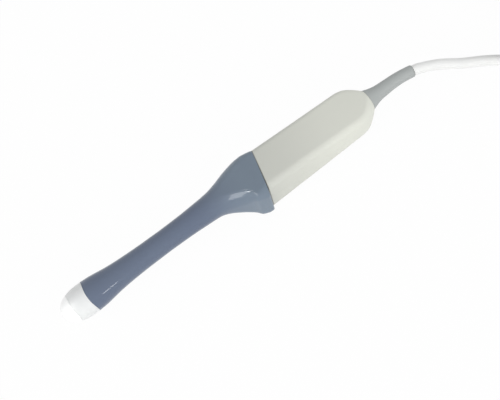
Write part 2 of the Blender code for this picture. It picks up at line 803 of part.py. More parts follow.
def screw(name, at, direction, length, parent=PROBE, head=SCREW_HEAD_RADIUS, shank=SCREW_RADIUS):
    """A pan head screw: at is under the head, direction +1 or -1 is where the shank points along Z."""
    x, y, z = at
    top = z - direction * SCREW_HEAD_HEIGHT
    profile = [
        (top, 0.0004),
        (top, 0.8 * head),
        (mix(top, z, 0.3), head),
        (z, head),
        (z, shank),
        (z + direction * length, shank),
        (z + direction * length, 0.0004),
    ]
    rings = [[(x + r * math.cos(a), y + r * math.sin(a), height) for a in
              [2 * math.pi * k / 12 for k in range(12)]] for height, r in profile[1:-1]]
    piece = add(name, loft(name, rings), STEEL, parent)
    smooth(piece)
    return piece


def boss_places():
    dx, dy = 0.42 * BOARD_LENGTH, 0.36 * BOARD_WIDTH
    return {
        "upper": [(BOARD_X + dx, dy), (BOARD_X - dx, -dy)],
        "lower": [(BOARD_X + dx, -dy), (BOARD_X - dx, dy)],
    }


def make_boards():
    half = CHASSIS_THICKNESS / 2
    wide = HANDLE_WIDTH / 2 - HANDLE_WALL - GAP
    low = (CHASSIS_REAR, -wide, -half)
    high = (CHASSIS_FRONT, wide, half)
    chassis = add("chassis", span_mesh("chassis", low, high), BLACK_PLASTIC, PROBE)
    hole = SCREW_RADIUS + GAP
    sides = {"upper": 1, "lower": -1}
    for name, places in boss_places().items():
        side = sides[name]
        for k, (x, y) in enumerate(places):
            boss = rod_mesh(
                f"{name}_boss_{k}",
                BOSS_RADIUS,
                (x, y, 0.0),
                (x, y, side * (half + BOSS_HEIGHT)),
                16,
            )
            cut(chassis, boss, PROBE, "UNION")
    for name, places in boss_places().items():
        side = sides[name]
        base = half + BOSS_HEIGHT + GAP
        size = (BOARD_LENGTH, BOARD_WIDTH, BOARD_THICKNESS)
        centre = (BOARD_X, 0.0, side * (base + BOARD_THICKNESS / 2))
        board = add(f"{name}_board", box_mesh(f"{name}_board", size, centre), BOARD_GREEN, PROBE)
        for k, (x, y) in enumerate(places):
            start = side * (-half - 0.001)
            drill = rod_mesh(f"{name}_boss_drill_{k}", hole, (x, y, start), (x, y, side * 0.02), 12)
            cut(chassis, drill, PROBE)
            drill = rod_mesh(f"{name}_board_drill_{k}", hole, (x, y, start), (x, y, side * 0.02), 12)
            cut(board, drill, PROBE)
            under_head = side * (base + BOARD_THICKNESS + GAP)
            number = 2 * k + (1 if side > 0 else 2)
            screw(f"board_screw_{number}", (x, y, under_head), -side, BOARD_THICKNESS + BOSS_HEIGHT)
        sits = base + BOARD_THICKNESS + GAP
        centre = (BOARD_X, 0.0, side * (sits + HEADER_SIZE[2] / 2))
        header = add(f"{name}_header", box_mesh(f"{name}_header", HEADER_SIZE, centre), OFF_WHITE, PROBE)
        slot = (HEADER_SIZE[0] - 0.003, HEADER_SIZE[1] - 0.003, HEADER_SIZE[2])
        centre = (BOARD_X, 0.0, side * (sits + HEADER_SIZE[2]))
        cut(header, box_mesh(f"{name}_header_slot", slot, centre), PROBE)


# Cable end in the handle, and the boot

def cable_frame(x):
    """Centre of the cable at x behind the handle, and its heading, sideways and up directions."""
    back = max(0.0, BOOT_BEND_X - x)
    centre = Vector((x, CABLE_BEND * back**2, -CABLE_SAG * back**2))
    heading = Vector((-1.0, 2 * CABLE_BEND * back, -2 * CABLE_SAG * back)).normalized()
    up = heading.cross(Vector((0.0, -1.0, 0.0))).normalized()
    return centre, heading, up.cross(heading), up


def cable_ring(x, radius, segments):
    centre, _, side, up = cable_frame(x)
    turn = [2 * math.pi * k / segments for k in range(segments)]
    return [tuple(centre + radius * (math.cos(a) * side + math.sin(a) * up)) for a in turn]


# Boot outline: share of its length, and share of the way from base to end radius
BOOT_FORM = (
    (0.0, 0.0), (0.045, 0.18), (0.12, 0.45), (0.195, 0.64), (0.27, 0.75),
    (0.36, 0.81), (0.5, 0.90), (0.66, 0.95), (0.82, 0.985), (0.96, 1.0), (1.0, 1.06),
)


def boot_rings(rear_face, length, base, end, neck, flange, bore, sign, bend=True, segments=24):
    """Rings of a boot with a flange inside the wall, a flared outside and a bore for the cable."""
    wall_in, wall_out, flange_back = flange
    rings = []

    def ring(x, radius):
        if bend:
            rings.append(cable_ring(x, radius, segments))
        else:
            rings.append(circle(x, 0.0, 0.0, radius, segments))

    ring(flange_back, neck + 0.001)
    ring(wall_in, neck + 0.001)
    ring(wall_in, neck)
    ring(rear_face + sign * GAP, neck)
    for share, amount in BOOT_FORM:
        ring(rear_face + sign * (GAP + share * length), mix(base, end, amount))
    tip = rear_face + sign * (GAP + length)
    ring(tip, bore)
    for share in (0.8, 0.6, 0.4, 0.0):
        ring(mix(flange_back, tip, share), bore)
    return rings


def make_cable_end():
    rear = -HANDLE_LENGTH
    inside = rear + HANDLE_WALL
    rings = boot_rings(
        rear,
        BOOT_LENGTH,
        BOOT_BASE_RADIUS,
        BOOT_END_RADIUS,
        HANDLE_REAR_RADIUS - HANDLE_WALL - GAP - 0.0002,
        (rear + 0.0045, rear, rear + 0.0062),
        CORE_RADIUS + GAP,
        -1,
    )
    piece = add("strain_relief_boot", loft("strain_relief_boot", rings, closed=True), GREY_RUBBER, PROBE)
    smooth(piece, 30)
    end = rear - GAP - BOOT_LENGTH
    front = CHASSIS_REAR - GAP
    stations = [front, FERRULE_X, rear, BOOT_BEND_X]
    stations += [mix(BOOT_BEND_X, end + GAP, share) for share in (0.25, 0.5, 0.75, 0.95, 1.0)]
    points = [tuple(cable_frame(x)[0]) for x in stations]
    tube("cable_core", points, CORE_RADIUS, CABLE_WHITE, PROBE, 2)
    bore = CORE_RADIUS + GAP
    outer = bore + FERRULE_WALL
    half = FERRULE_LENGTH / 2
    profile = [(-half, outer), (-half, bore), (half, bore), (half, outer)]
    turned("crimp_ferrule", profile, STEEL, PROBE, segments=24, at=(FERRULE_X, 0.0, 0.0))
    rear_of_clamp = FERRULE_X - CLAMP_LENGTH / 2
    depth = handle_sizes(rear_of_clamp)[1] - HANDLE_WALL - GAP
    make_clamp("cable_clamp", ("upper", "lower"), FERRULE_X, 0.0, outer + GAP, depth, -depth, PROBE)


def make_clamp(name, ends, x, axis_z, groove, top, bottom, parent):
    """Two blocks round the cable, held by two screws with sunk heads."""
    half = CLAMP_LENGTH / 2
    wide = CLAMP_WIDTH / 2
    blocks = (
        (f"{name}_{ends[0]}", axis_z + GAP / 2, top),
        (f"{name}_{ends[1]}", bottom, axis_z - GAP / 2),
    )
    for title, low, high in blocks:
        mesh = span_mesh(title, (x - half, -wide, low), (x + half, wide, high))
        block = add(title, mesh, BLACK_PLASTIC, parent)
        across = rod_mesh(f"{title}_groove", groove, (x - 0.02, 0.0, axis_z), (x + 0.02, 0.0, axis_z), 24)
        cut(block, across, parent)
        for k, side in enumerate((-1, 1)):
            y = side * CLAMP_SCREW_SPREAD / 2
            start = (x, y, bottom + 0.001)
            hole = rod_mesh(f"{title}_hole_{k}", SCREW_RADIUS + GAP, start, (x, y, top + 0.01), 12)
            cut(block, hole, parent)
            if high == top:
                seat = top - SCREW_HEAD_HEIGHT - 2 * GAP
                seat_radius = SCREW_HEAD_RADIUS + GAP
                sink = rod_mesh(f"{title}_sink_{k}", seat_radius, (x, y, seat), (x, y, top + 0.01), 16)
                cut(block, sink, parent)
    for k, side in enumerate((-1, 1)):
        y = side * CLAMP_SCREW_SPREAD / 2
        seat = top - SCREW_HEAD_HEIGHT - GAP
        screw(f"{name}_screw_{k + 1}", (x, y, seat), -1, seat - bottom - 0.002, parent)


# System connector

def connector_shell(name, low, high, outside, edge, look):
    """A box with rounded upright corners, whose outside face is at z = outside and has softened edges."""
    mesh = span_mesh(
        name,
        (-CONNECTOR_LENGTH / 2, -CONNECTOR_WIDTH / 2, low),
        (CONNECTOR_LENGTH / 2, CONNECTOR_WIDTH / 2, high),
    )
    shape = bmesh.new()
    shape.from_mesh(mesh)
    upright = [e for e in shape.edges if abs((e.verts[0].co - e.verts[1].co).z) > 0.001]
    bmesh.ops.bevel(shape, geom=upright, offset=CONNECTOR_CORNER, segments=6, profile=0.5, affect="EDGES")
    border = [e for e in shape.edges if all(abs(v.co.z - outside) < 1e-5 for v in e.verts)]
    bmesh.ops.bevel(shape, geom=border, offset=edge, segments=3, profile=0.5, affect="EDGES")
    shape.to_mesh(mesh)
    shape.free()
    return add(name, mesh, look, PLUG)


def hollow(piece, low, high):
    """Two crossing boxes: they leave a solid post in each corner."""
    long = CONNECTOR_LENGTH / 2 - CONNECTOR_WALL
    wide = CONNECTOR_WIDTH / 2 - CONNECTOR_WALL
    for tag, x, y in (("long", long, wide - CONNECTOR_POST), ("wide", long - CONNECTOR_POST, wide)):
        cut(piece, span_mesh(f"{piece.name}_{tag}", (-x, -y, low), (x, y, high)), PLUG)


def housing_screw_places():
    inset = CONNECTOR_WALL + CONNECTOR_POST / 2
    x = CONNECTOR_LENGTH / 2 - inset
    y = CONNECTOR_WIDTH / 2 - inset
    return [(x, y), (x, -y), (-x, y), (-x, -y)]


def make_connector_housing():
    floor = SHROUD_DEPTH + SHROUD_FLOOR
    split = CONNECTOR_SEAM - GAP / 2
    lower = connector_shell("connector_lower_housing", 0.0, split, 0.0, 0.0012, BLACK_PLASTIC)
    hollow(lower, floor, CONNECTOR_SEAM + 0.01)
    recess = (SHROUD_LENGTH, SHROUD_WIDTH, 2 * SHROUD_DEPTH)
    cut(lower, box_mesh("shroud_recess", recess, (0.0, 0.0, 0.0)), PLUG)
    window = (SHROUD_LENGTH - 2 * BLOCK_MARGIN, SHROUD_WIDTH - 2 * BLOCK_MARGIN, 0.02)
    cut(lower, box_mesh("block_window", window, (0.0, 0.0, SHROUD_DEPTH)), PLUG)

    top = CONNECTOR_HEIGHT
    upper = connector_shell("connector_upper_housing", split + GAP, top, top, CONNECTOR_EDGE, OFF_WHITE)
    hollow(upper, CONNECTOR_SEAM - 0.01, CONNECTOR_HEIGHT - CONNECTOR_WALL)
    for side in (-1, 1):
        for k in range(GRIP_COUNT):
            x = (k - (GRIP_COUNT - 1) / 2) * GRIP_PITCH
            low_z = CONNECTOR_SEAM + 0.004
            mesh = span_mesh(
                f"grip_{k}_{'near' if side > 0 else 'far'}",
                (x - GRIP_PITCH / 4, side * CONNECTOR_WIDTH / 2 - GRIP_DEPTH, low_z),
                (x + GRIP_PITCH / 4, side * CONNECTOR_WIDTH / 2 + GRIP_DEPTH, top - CONNECTOR_EDGE - 0.001),
            )
            cut(upper, mesh, PLUG)
    bush_radius = LOCK_RADIUS + 3 * GAP + 0.002
    bush_hole = rod_mesh("bush_hole", bush_radius, (0, 0, top - 0.01), (0, 0, top + 0.01), 24)
    cut(upper, bush_hole, PLUG)

    for k, (x, y) in enumerate(housing_screw_places()):
        hole = SCREW_RADIUS + 0.0004 + GAP
        through = rod_mesh(f"lower_drill_{k}", hole, (x, y, -0.01), (x, y, 0.05), 12)
        cut(lower, through, PLUG)
        sink_radius = SCREW_HEAD_RADIUS + 0.0008 + GAP
        sink = rod_mesh(f"lower_sink_{k}", sink_radius, (x, y, -0.01), (x, y, 0.002), 16)
        cut(lower, sink, PLUG)
        blind = rod_mesh(f"upper_drill_{k}", hole, (x, y, 0.0), (x, y, CONNECTOR_HEIGHT - 0.006), 12)
        cut(upper, blind, PLUG)
        screw(
            f"housing_screw_{k + 1}",
            (x, y, 0.002 - GAP),
            1,
            CONNECTOR_HEIGHT - 0.012,
            PLUG,
            SCREW_HEAD_RADIUS + 0.0008,
            SCREW_RADIUS + 0.0004,
        )
    for housing in (lower, upper):
        entry = rod_mesh(
            f"{housing.name}_entry",
            BOOT_NECK_RADIUS + GAP,
            (CONNECTOR_LENGTH / 2 - 0.006, 0.0, CONNECTOR_SEAM),
            (CONNECTOR_LENGTH / 2 + 0.006, 0.0, CONNECTOR_SEAM),
            24,
        )
        cut(housing, entry, PLUG)


def make_contacts():
    floor = SHROUD_DEPTH + SHROUD_FLOOR
    face = (SHROUD_LENGTH - 2 * BLOCK_MARGIN - 2 * GAP, SHROUD_WIDTH - 2 * BLOCK_MARGIN - 2 * GAP)
    low = (-face[0] / 2, -face[1] / 2, SHROUD_DEPTH - 0.0005)
    high = (face[0] / 2, face[1] / 2, floor + BLOCK_FLANGE)
    block = add("contact_block", span_mesh("contact_block", low, high), BLACK_PLASTIC, PLUG)
    flange_low = (-SHROUD_LENGTH / 2, -SHROUD_WIDTH / 2, floor + GAP)
    flange_high = (SHROUD_LENGTH / 2, SHROUD_WIDTH / 2, floor + BLOCK_FLANGE - 0.0002)
    cut(block, span_mesh("block_flange", flange_low, flange_high), PLUG, "UNION")
    hole = rod_mesh("block_hole", LOCK_RADIUS + GAP, (0, 0, 0), (0, 0, 0.03), 24)
    cut(block, hole, PLUG)
    slot_end = SHROUD_LENGTH / 2 - BLOCK_MARGIN - 0.002
    for row in range(SLOT_ROWS):
        y = (row - (SLOT_ROWS - 1) / 2) * (SHROUD_WIDTH - 2 * BLOCK_MARGIN) / SLOT_ROWS
        cam_end = CAM_SIZE[0] / 2 + 0.001
        for tag, start, stop in (("cable", cam_end, slot_end), ("far", -slot_end, -cam_end)):
            low = (start, y - 0.0012, 0.0)
            high = (stop, y + 0.0012, SHROUD_DEPTH + 0.001)
            cut(block, span_mesh(f"contact_slot_{row}_{tag}", low, high), PLUG)

    outer = (SHROUD_LENGTH - 2 * GAP, SHROUD_WIDTH - 2 * GAP, SHROUD_DEPTH - 0.001 - GAP)
    middle = (0.0, 0.0, 0.001 + outer[2] / 2)
    frame = add("shield_frame", box_mesh("shield_frame", outer, middle), STEEL, PLUG)
    inner = (outer[0] - 2 * SHIELD_FRAME_WALL, outer[1] - 2 * SHIELD_FRAME_WALL, 0.02)
    cut(frame, box_mesh("frame_opening", inner, (0.0, 0.0, 0.0)), PLUG)

    board_low = floor + BLOCK_FLANGE + GAP
    size = (SHROUD_LENGTH - 0.002, SHROUD_WIDTH + 0.006, BOARD_THICKNESS)
    board = add(
        "interface_board",
        box_mesh("interface_board", size, (0.0, 0.0, board_low + BOARD_THICKNESS / 2)),
        BOARD_GREEN,
        PLUG,
    )
    hole = rod_mesh("interface_board_hole", LOCK_RADIUS + GAP, (0, 0, 0), (0, 0, 0.03), 24)
    cut(board, hole, PLUG)


def make_lock():
    top = CONNECTOR_HEIGHT
    foot = 0.0020
    knob_low = top + 3 * GAP + 0.0006
    knob_top = knob_low + KNOB_HEIGHT
    shaft = rod_mesh("lock_shaft", LOCK_RADIUS, (0, 0, foot), (0, 0, knob_top - 0.004 - GAP), 24)
    shaft_piece = add("lock_shaft", shaft, STEEL, PLUG)
    cam = box_mesh("lock_cam", CAM_SIZE, (0.0, 0.0, foot + CAM_SIZE[2] / 2 - 0.0001))
    cut(shaft_piece, cam, PLUG, "UNION")

    bush_out = LOCK_RADIUS + 2 * GAP + 0.002
    bush_in = LOCK_RADIUS + GAP
    bush = [
        (top - CONNECTOR_WALL - GAP - 0.0015, bush_out + 0.0015),
        (top - CONNECTOR_WALL - GAP - 0.0015, bush_in),
        (top, bush_in),
        (top, bush_out),
        (top - CONNECTOR_WALL - GAP, bush_out),
        (top - CONNECTOR_WALL - GAP, bush_out + 0.0015),
    ]
    turned("shaft_bush", bush, CERAMIC, PLUG, "Z", 24)
    collar_top = top - CONNECTOR_WALL - 2 * GAP - 0.0015
    collar = [
        (collar_top - 0.002, LOCK_RADIUS + 0.0025),
        (collar_top - 0.002, bush_in),
        (collar_top, bush_in),
        (collar_top, LOCK_RADIUS + 0.0025),
    ]
    turned("lock_collar", collar, STEEL, PLUG, "Z", 24)
    washer_low = top + GAP
    washer = [
        (washer_low, 0.009),
        (washer_low, bush_in),
        (washer_low + 0.0006, bush_in),
        (washer_low + 0.0006, 0.009),
    ]
    turned("lock_washer", washer, STEEL, PLUG, "Z", 24)

    disc = rod_mesh("lock_knob", KNOB_RADIUS, (0, 0, knob_low), (0, 0, knob_low + 0.0035), 40)
    knob = add("lock_knob", disc, BLUE, PLUG)
    bar = box_mesh(
        "knob_bar",
        (2 * KNOB_RADIUS + 0.006, 0.009, KNOB_HEIGHT - 0.001),
        (0.0, 0.0, knob_low + 0.001 + (KNOB_HEIGHT - 0.001) / 2),
    )
    cut(knob, bar, PLUG, "UNION")
    socket = rod_mesh("knob_socket", LOCK_RADIUS + GAP, (0, 0, top - 0.01), (0, 0, knob_top - 0.004), 24)
    cut(knob, socket, PLUG)
    screw_hole = rod_mesh("knob_screw_hole", SCREW_RADIUS + GAP, (0, 0, top), (0, 0, top + 0.03), 12)
    cut(knob, screw_hole, PLUG)
    sink_radius = SCREW_HEAD_RADIUS + 0.001 + GAP
    sink = rod_mesh("knob_sink", sink_radius, (0, 0, knob_top - 0.002), (0, 0, top + 0.03), 16)
    cut(knob, sink, PLUG)
    bevel(knob, 0.0005, 2, 50)
    drill = rod_mesh("shaft_drill", SCREW_RADIUS + GAP, (0, 0, knob_top - 0.010), (0, 0, top + 0.03), 12)
    cut(shaft_piece, drill, PLUG)
    screw(
        "knob_screw",
        (0.0, 0.0, knob_top - 0.002 + GAP),
        -1,
        0.0065,
        PLUG,
        SCREW_HEAD_RADIUS + 0.001,
    )


def make_connector_cable_end():
    face = CONNECTOR_LENGTH / 2
    inside = face - CONNECTOR_WALL
    rings = boot_rings(
        face,
        CONNECTOR_BOOT_LENGTH,
        0.0078,
        BOOT_END_RADIUS,
        BOOT_NECK_RADIUS,
        (inside - GAP, inside, inside - GAP - 0.0015),
        CORE_RADIUS + GAP,
        1,
        bend=False,
    )
    rings = [[(x, y, z + CONNECTOR_SEAM) for x, y, z in ring] for ring in rings]
    piece = add("connector_boot", loft("connector_boot", rings, closed=True), GREY_RUBBER, PLUG)
    smooth(piece, 30)
    outer_end = face + GAP + CONNECTOR_BOOT_LENGTH
    clamp_x = face - CONNECTOR_WALL - CLAMP_LENGTH / 2 - 0.0035
    points = [(x, 0.0, CONNECTOR_SEAM) for x in (clamp_x - 0.006, face, outer_end)]
    tube("connector_cable_end", points, CORE_RADIUS, CABLE_WHITE, PLUG, 2)
    floor = SHROUD_DEPTH + SHROUD_FLOOR + GAP
    make_clamp(
        "connector_clamp",
        ("cap", "base"),
        clamp_x,
        CONNECTOR_SEAM,
        CORE_RADIUS + GAP,
        CONNECTOR_SEAM + 0.0070,
        floor,
        PLUG,
    )


# Laying the probe down, then its cable

def rest_tilt():
    """The bell's rim and the nose touch the floor together."""
    drop = RIM_DEPTH / 2 - NOSE_RADIUS
    return math.asin(drop / (NOSE_SHOULDER - JOINT_X))


def lay_down():
    """Tilt the probe and bring its lowest point and the middle of its outline to the origin."""
    PROBE.rotation_euler = (0.0, rest_tilt(), 0.0)
    bpy.context.view_layer.update()
    graph = bpy.context.evaluated_depsgraph_get()
    low = Vector((1.0, 1.0, 1.0))
    high = Vector((-1.0, -1.0, -1.0))
    for name in ("shaft_shell", "nose_ring", "acoustic_lens", "strain_relief_boot", "upper_handle_shell"):
        seen = bpy.data.objects[name].evaluated_get(graph)
        mesh = seen.to_mesh()
        for vertex in mesh.vertices:
            place = seen.matrix_world @ vertex.co
            low = Vector(map(min, low, place))
            high = Vector(map(max, high, place))
        seen.to_mesh_clear()
    PROBE.location = (-(low.x + high.x) / 2, -(low.y + high.y) / 2, -low.z)
    bpy.context.view_layer.update()


def along_cord(route, count):
    """A smooth curve through chosen route points, read at even steps."""
    rows = []
    length = 0.0
    for k, point in enumerate(route):
        if k:
            length += (Vector(point) - Vector(route[k - 1])).length
        rows.append((length, *point))
    return [blend(rows, length * k / (count - 1)) for k in range(count)]


# Cable route from the boot to the coil: offsets in X and Y from the exit, and height above the floor
LEAD_START = 0.0040
LEAD_ROUTE = (
    (-0.0190, 0.0060, 0.0140),
    (-0.0340, 0.0130, 0.0078),
    (-0.0500, 0.0215, 0.0046),
    (-0.0630, 0.0320, 0.0041),
    (-0.0700, 0.0405, 0.0041),
)


def make_cord():
    end = -HANDLE_LENGTH - GAP - BOOT_LENGTH
    centre, heading, _, _ = cable_frame(end)
    exit_point = PROBE.matrix_world @ centre
    heading = (PROBE.matrix_world.to_3x3() @ heading).normalized()
    start = exit_point + GAP * heading
    route = [tuple(exit_point + LEAD_START * heading)]
    route += [(exit_point.x + dx, exit_point.y + dy, z) for dx, dy, z in LEAD_ROUTE]
    points = [tuple(start)] + along_cord(route, 14)
    tube("probe_cable", points, CABLE_RADIUS, CABLE_WHITE, None, 3)

    coil = (exit_point.x + COIL_OFFSET[0], exit_point.y + COIL_OFFSET[1])
    plug = (coil[0] + CONNECTOR_OFFSET[0], coil[1] + CONNECTOR_OFFSET[1])
    PLUG.location = (*plug, 0.0)
    lift = TIE_THICKNESS + GAP
    tall = 2 * CABLE_RADIUS * COIL_LAYERS
    outer = COIL_OUTER + CABLE_RADIUS
    inner = COIL_OUTER - CABLE_RADIUS * (2 * COIL_COLUMNS - 1)
    soft = 0.003
    profile = [
        (lift, inner + soft),
        (lift + soft, inner),
        (lift + tall - soft, inner),
        (lift + tall, inner + soft),
        (lift + tall, outer - soft),
        (lift + tall - soft, outer),
        (lift + soft, outer),
        (lift, outer - soft),
    ]
    turned("cable_coil", profile, CABLE_WHITE, None, "Z", 40, (*coil, 0.0))

    rings = []
    hole_side = math.sqrt(inner**2 - (TIE_WIDTH / 2) ** 2) - 2 * GAP
    for half, y in ((0.0, -TIE_WIDTH / 2), (0.0, TIE_WIDTH / 2), (TIE_THICKNESS, TIE_WIDTH / 2),
                    (TIE_THICKNESS, -TIE_WIDTH / 2)):
        reach = (hole_side - half, outer + GAP + half)
        floor = lift - GAP - half
        ceiling = lift + tall + GAP + half
        ring = [
            (coil[0] + x, coil[1] + y, z)
            for x, z in ((reach[0], floor), (reach[1], floor), (reach[1], ceiling), (reach[0], ceiling))
        ]
        rings.append(ring)
    add("coil_tie", loft("coil_tie", rings, closed=True), DARK_RUBBER, None)

    boot_end = CONNECTOR_LENGTH / 2 + GAP + CONNECTOR_BOOT_LENGTH + GAP
    finish = (plug[0] + boot_end, plug[1], CONNECTOR_SEAM)
    start = Vector((coil[0] - 0.0494, coil[1] + 0.0243, lift + tall - CABLE_RADIUS))
    near_end = (finish[0] + LEAD_START, finish[1], finish[2])
    middle = (
        mix(start.x, near_end[0], 0.5),
        mix(start.y, near_end[1], 0.65),
        mix(start.z, near_end[2], 0.55),
    )
    points = along_cord([tuple(start), middle, near_end], 5) + [finish]
    tube("connector_lead", points, CABLE_RADIUS, CABLE_WHITE, None, 3)


make_shaft_shell()
make_nose()
make_lens()
make_array()
make_carrier_and_flexes()
make_shield_and_bundle()
half_shell("upper_handle_shell", 1)
half_shell("lower_handle_shell", -1)
make_seal()
make_boards()
make_cable_end()
make_connector_housing()
make_contacts()
make_lock()
make_connector_cable_end()
lay_down()
make_cord()
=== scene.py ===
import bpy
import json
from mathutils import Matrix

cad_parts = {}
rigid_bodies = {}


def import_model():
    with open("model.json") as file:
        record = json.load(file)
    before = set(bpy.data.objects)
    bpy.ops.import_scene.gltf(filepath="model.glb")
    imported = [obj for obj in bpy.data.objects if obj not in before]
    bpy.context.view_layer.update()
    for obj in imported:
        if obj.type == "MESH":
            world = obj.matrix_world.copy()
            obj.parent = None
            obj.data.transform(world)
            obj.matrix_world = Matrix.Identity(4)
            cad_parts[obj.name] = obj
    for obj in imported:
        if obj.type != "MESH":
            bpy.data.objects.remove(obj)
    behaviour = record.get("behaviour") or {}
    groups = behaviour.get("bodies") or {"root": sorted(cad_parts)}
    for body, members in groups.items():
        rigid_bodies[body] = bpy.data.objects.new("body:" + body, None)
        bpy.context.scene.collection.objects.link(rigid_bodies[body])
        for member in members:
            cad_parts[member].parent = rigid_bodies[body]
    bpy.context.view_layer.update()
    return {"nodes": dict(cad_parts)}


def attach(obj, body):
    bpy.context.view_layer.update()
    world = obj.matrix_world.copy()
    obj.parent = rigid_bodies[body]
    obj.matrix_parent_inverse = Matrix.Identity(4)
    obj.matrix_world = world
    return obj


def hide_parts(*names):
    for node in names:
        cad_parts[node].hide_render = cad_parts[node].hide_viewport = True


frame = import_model()

import json
import math

import bmesh
import bpy
from mathutils import Matrix, Vector

# The scene is in metres. A size is written in millimetres: with the unit, as in 4.0 * mm, or as a plain
# number that gets the unit where the shape is made. The probe is modelled along its own X axis, lens
# towards +X, and is laid on the floor by probePlace.
mm = 0.001
probeTilt = 1.2897  # degrees, with which the body rests on the floor
probePlace = (
    Matrix.Translation((-19.841 * mm, 0.396 * mm, 15.979 * mm))
    @ Matrix.Rotation(math.radians(probeTilt), 4, "Y")
)


# Helpers

def deselectAll():
    if bpy.context.mode != "OBJECT":
        bpy.ops.object.mode_set(mode="OBJECT")
    bpy.ops.object.select_all(action="DESELECT")


def pick(piece):
    deselectAll()
    piece.select_set(True)
    bpy.context.view_layer.objects.active = piece


def named(piece, name):
    piece.name = name
    piece.data.name = name
    return piece


def readCurve(rows, where):  # smooth curve through rows of (place, value, ...)
    rows = sorted(rows)
    if where <= rows[0][0]:
        return rows[0][1:]
    if where >= rows[-1][0]:
        return rows[-1][1:]
    k = next(i for i in range(len(rows) - 1) if where <= rows[i + 1][0])
    low, high = rows[k], rows[k + 1]
    before, after = rows[max(k - 1, 0)], rows[min(k + 2, len(rows) - 1)]
    span = high[0] - low[0]
    u = (where - low[0]) / span
    found = []
    for c in range(1, len(low)):
        m0 = (high[c] - before[c]) / (high[0] - before[0]) * span
        m1 = (after[c] - low[c]) / (after[0] - low[0]) * span
        rise = (2 * u**3 - 3 * u**2 + 1) * low[c] + (u**3 - 2 * u**2 + u) * m0
        fall = (3 * u**2 - 2 * u**3) * high[c] + (u**3 - u**2) * m1
        found.append(rise + fall)
    return tuple(found)


def mix(a, b, share):
    return a + (b - a) * share


def startMesh(name):
    deselectAll()
    bpy.ops.mesh.primitive_plane_add(size=0.01)
    piece = named(bpy.context.object, name)
    bpy.ops.object.mode_set(mode="EDIT")
    bpy.ops.mesh.select_all(action="SELECT")
    bpy.ops.mesh.delete(type="VERT")
    return piece


def keepSelected(test):  # of the selected points, keep those that pass the test
    shape = bmesh.from_edit_mesh(bpy.context.edit_object.data)
    for v in shape.verts:
        v.select = v.select and test(v.co)
    shape.select_flush(False)
    bmesh.update_edit_mesh(bpy.context.edit_object.data)


cornerRoom = 0.0001  # metres that a corner's radius stays under half the section


# A rounded rectangle across the probe. Its corner at the top of the near side is the ridge.
def addSection(yFar, yNear, depth, corner, ridge, xFar, xNear, arc):
    width = yNear - yFar
    slope = (xNear - xFar) / width
    bpy.ops.mesh.select_all(action="DESELECT")
    bpy.ops.mesh.primitive_plane_add(size=1, rotation=(0, math.pi / 2, 0))
    bpy.ops.transform.resize(value=(1, width, depth))
    for atRidge, radius in ((True, ridge), (False, corner)):
        radius = min(radius, width / 2 - cornerRoom, depth / 2 - cornerRoom)
        keepSelected(lambda place: (place.y > 0 and place.z > 0) == atRidge)
        bpy.ops.mesh.bevel(offset=radius, segments=arc, profile=0.5, affect="VERTICES")
        bpy.ops.mesh.select_linked()
    bpy.ops.transform.resize(value=(1, math.sqrt(1 + slope**2), 1), center_override=(0, 0, 0))
    bpy.ops.transform.rotate(value=math.atan(slope), orient_axis="Z", center_override=(0, 0, 0))
    bpy.ops.transform.translate(value=((xFar + xNear) / 2, (yFar + yNear) / 2, 0))


def skinSections():  # bridge all the sections of the mesh in edit mode
    bpy.ops.mesh.select_all(action="SELECT")
    bpy.ops.mesh.delete(type="ONLY_FACE")
    bpy.ops.mesh.select_all(action="SELECT")
    bpy.ops.mesh.bridge_edge_loops()
    bpy.ops.mesh.select_all(action="SELECT")
    bpy.ops.mesh.normals_make_consistent(inside=False)


def capEnds():  # close every open border
    bpy.ops.mesh.select_mode(type="EDGE")
    bpy.ops.mesh.select_all(action="DESELECT")
    bpy.ops.mesh.select_non_manifold(
        extend=False, use_wire=False, use_boundary=True,
        use_multi_face=False, use_non_contiguous=False, use_verts=False,
    )
    bpy.ops.mesh.edge_face_add()
    bpy.ops.mesh.select_mode(type="VERT")
    bpy.ops.mesh.select_all(action="SELECT")
    bpy.ops.mesh.normals_make_consistent(inside=False)


def giveWall(piece, thickness):  # an open skin gets its inner wall
    pick(piece)
    wall = piece.modifiers.new("wall", "SOLIDIFY")
    wall.thickness = thickness
    wall.offset = -1
    bpy.ops.object.modifier_apply(modifier=wall.name)


def softenEdges(piece, width, segments, angle):
    pick(piece)
    edge = piece.modifiers.new("edges", "BEVEL")
    edge.width = width
    edge.segments = segments
    edge.limit_method = "ANGLE"
    edge.angle_limit = math.radians(angle)
    bpy.ops.object.modifier_apply(modifier=edge.name)


def shadeSmooth(piece, angle):
    pick(piece)
    bpy.ops.object.shade_smooth_by_angle(angle=math.radians(angle))


def layDown(piece, place=probePlace):  # bring a piece to its place and keep its object at the origin
    pick(piece)
    piece.matrix_world = place @ piece.matrix_world
    bpy.ops.object.transform_apply(location=True, rotation=True, scale=True)


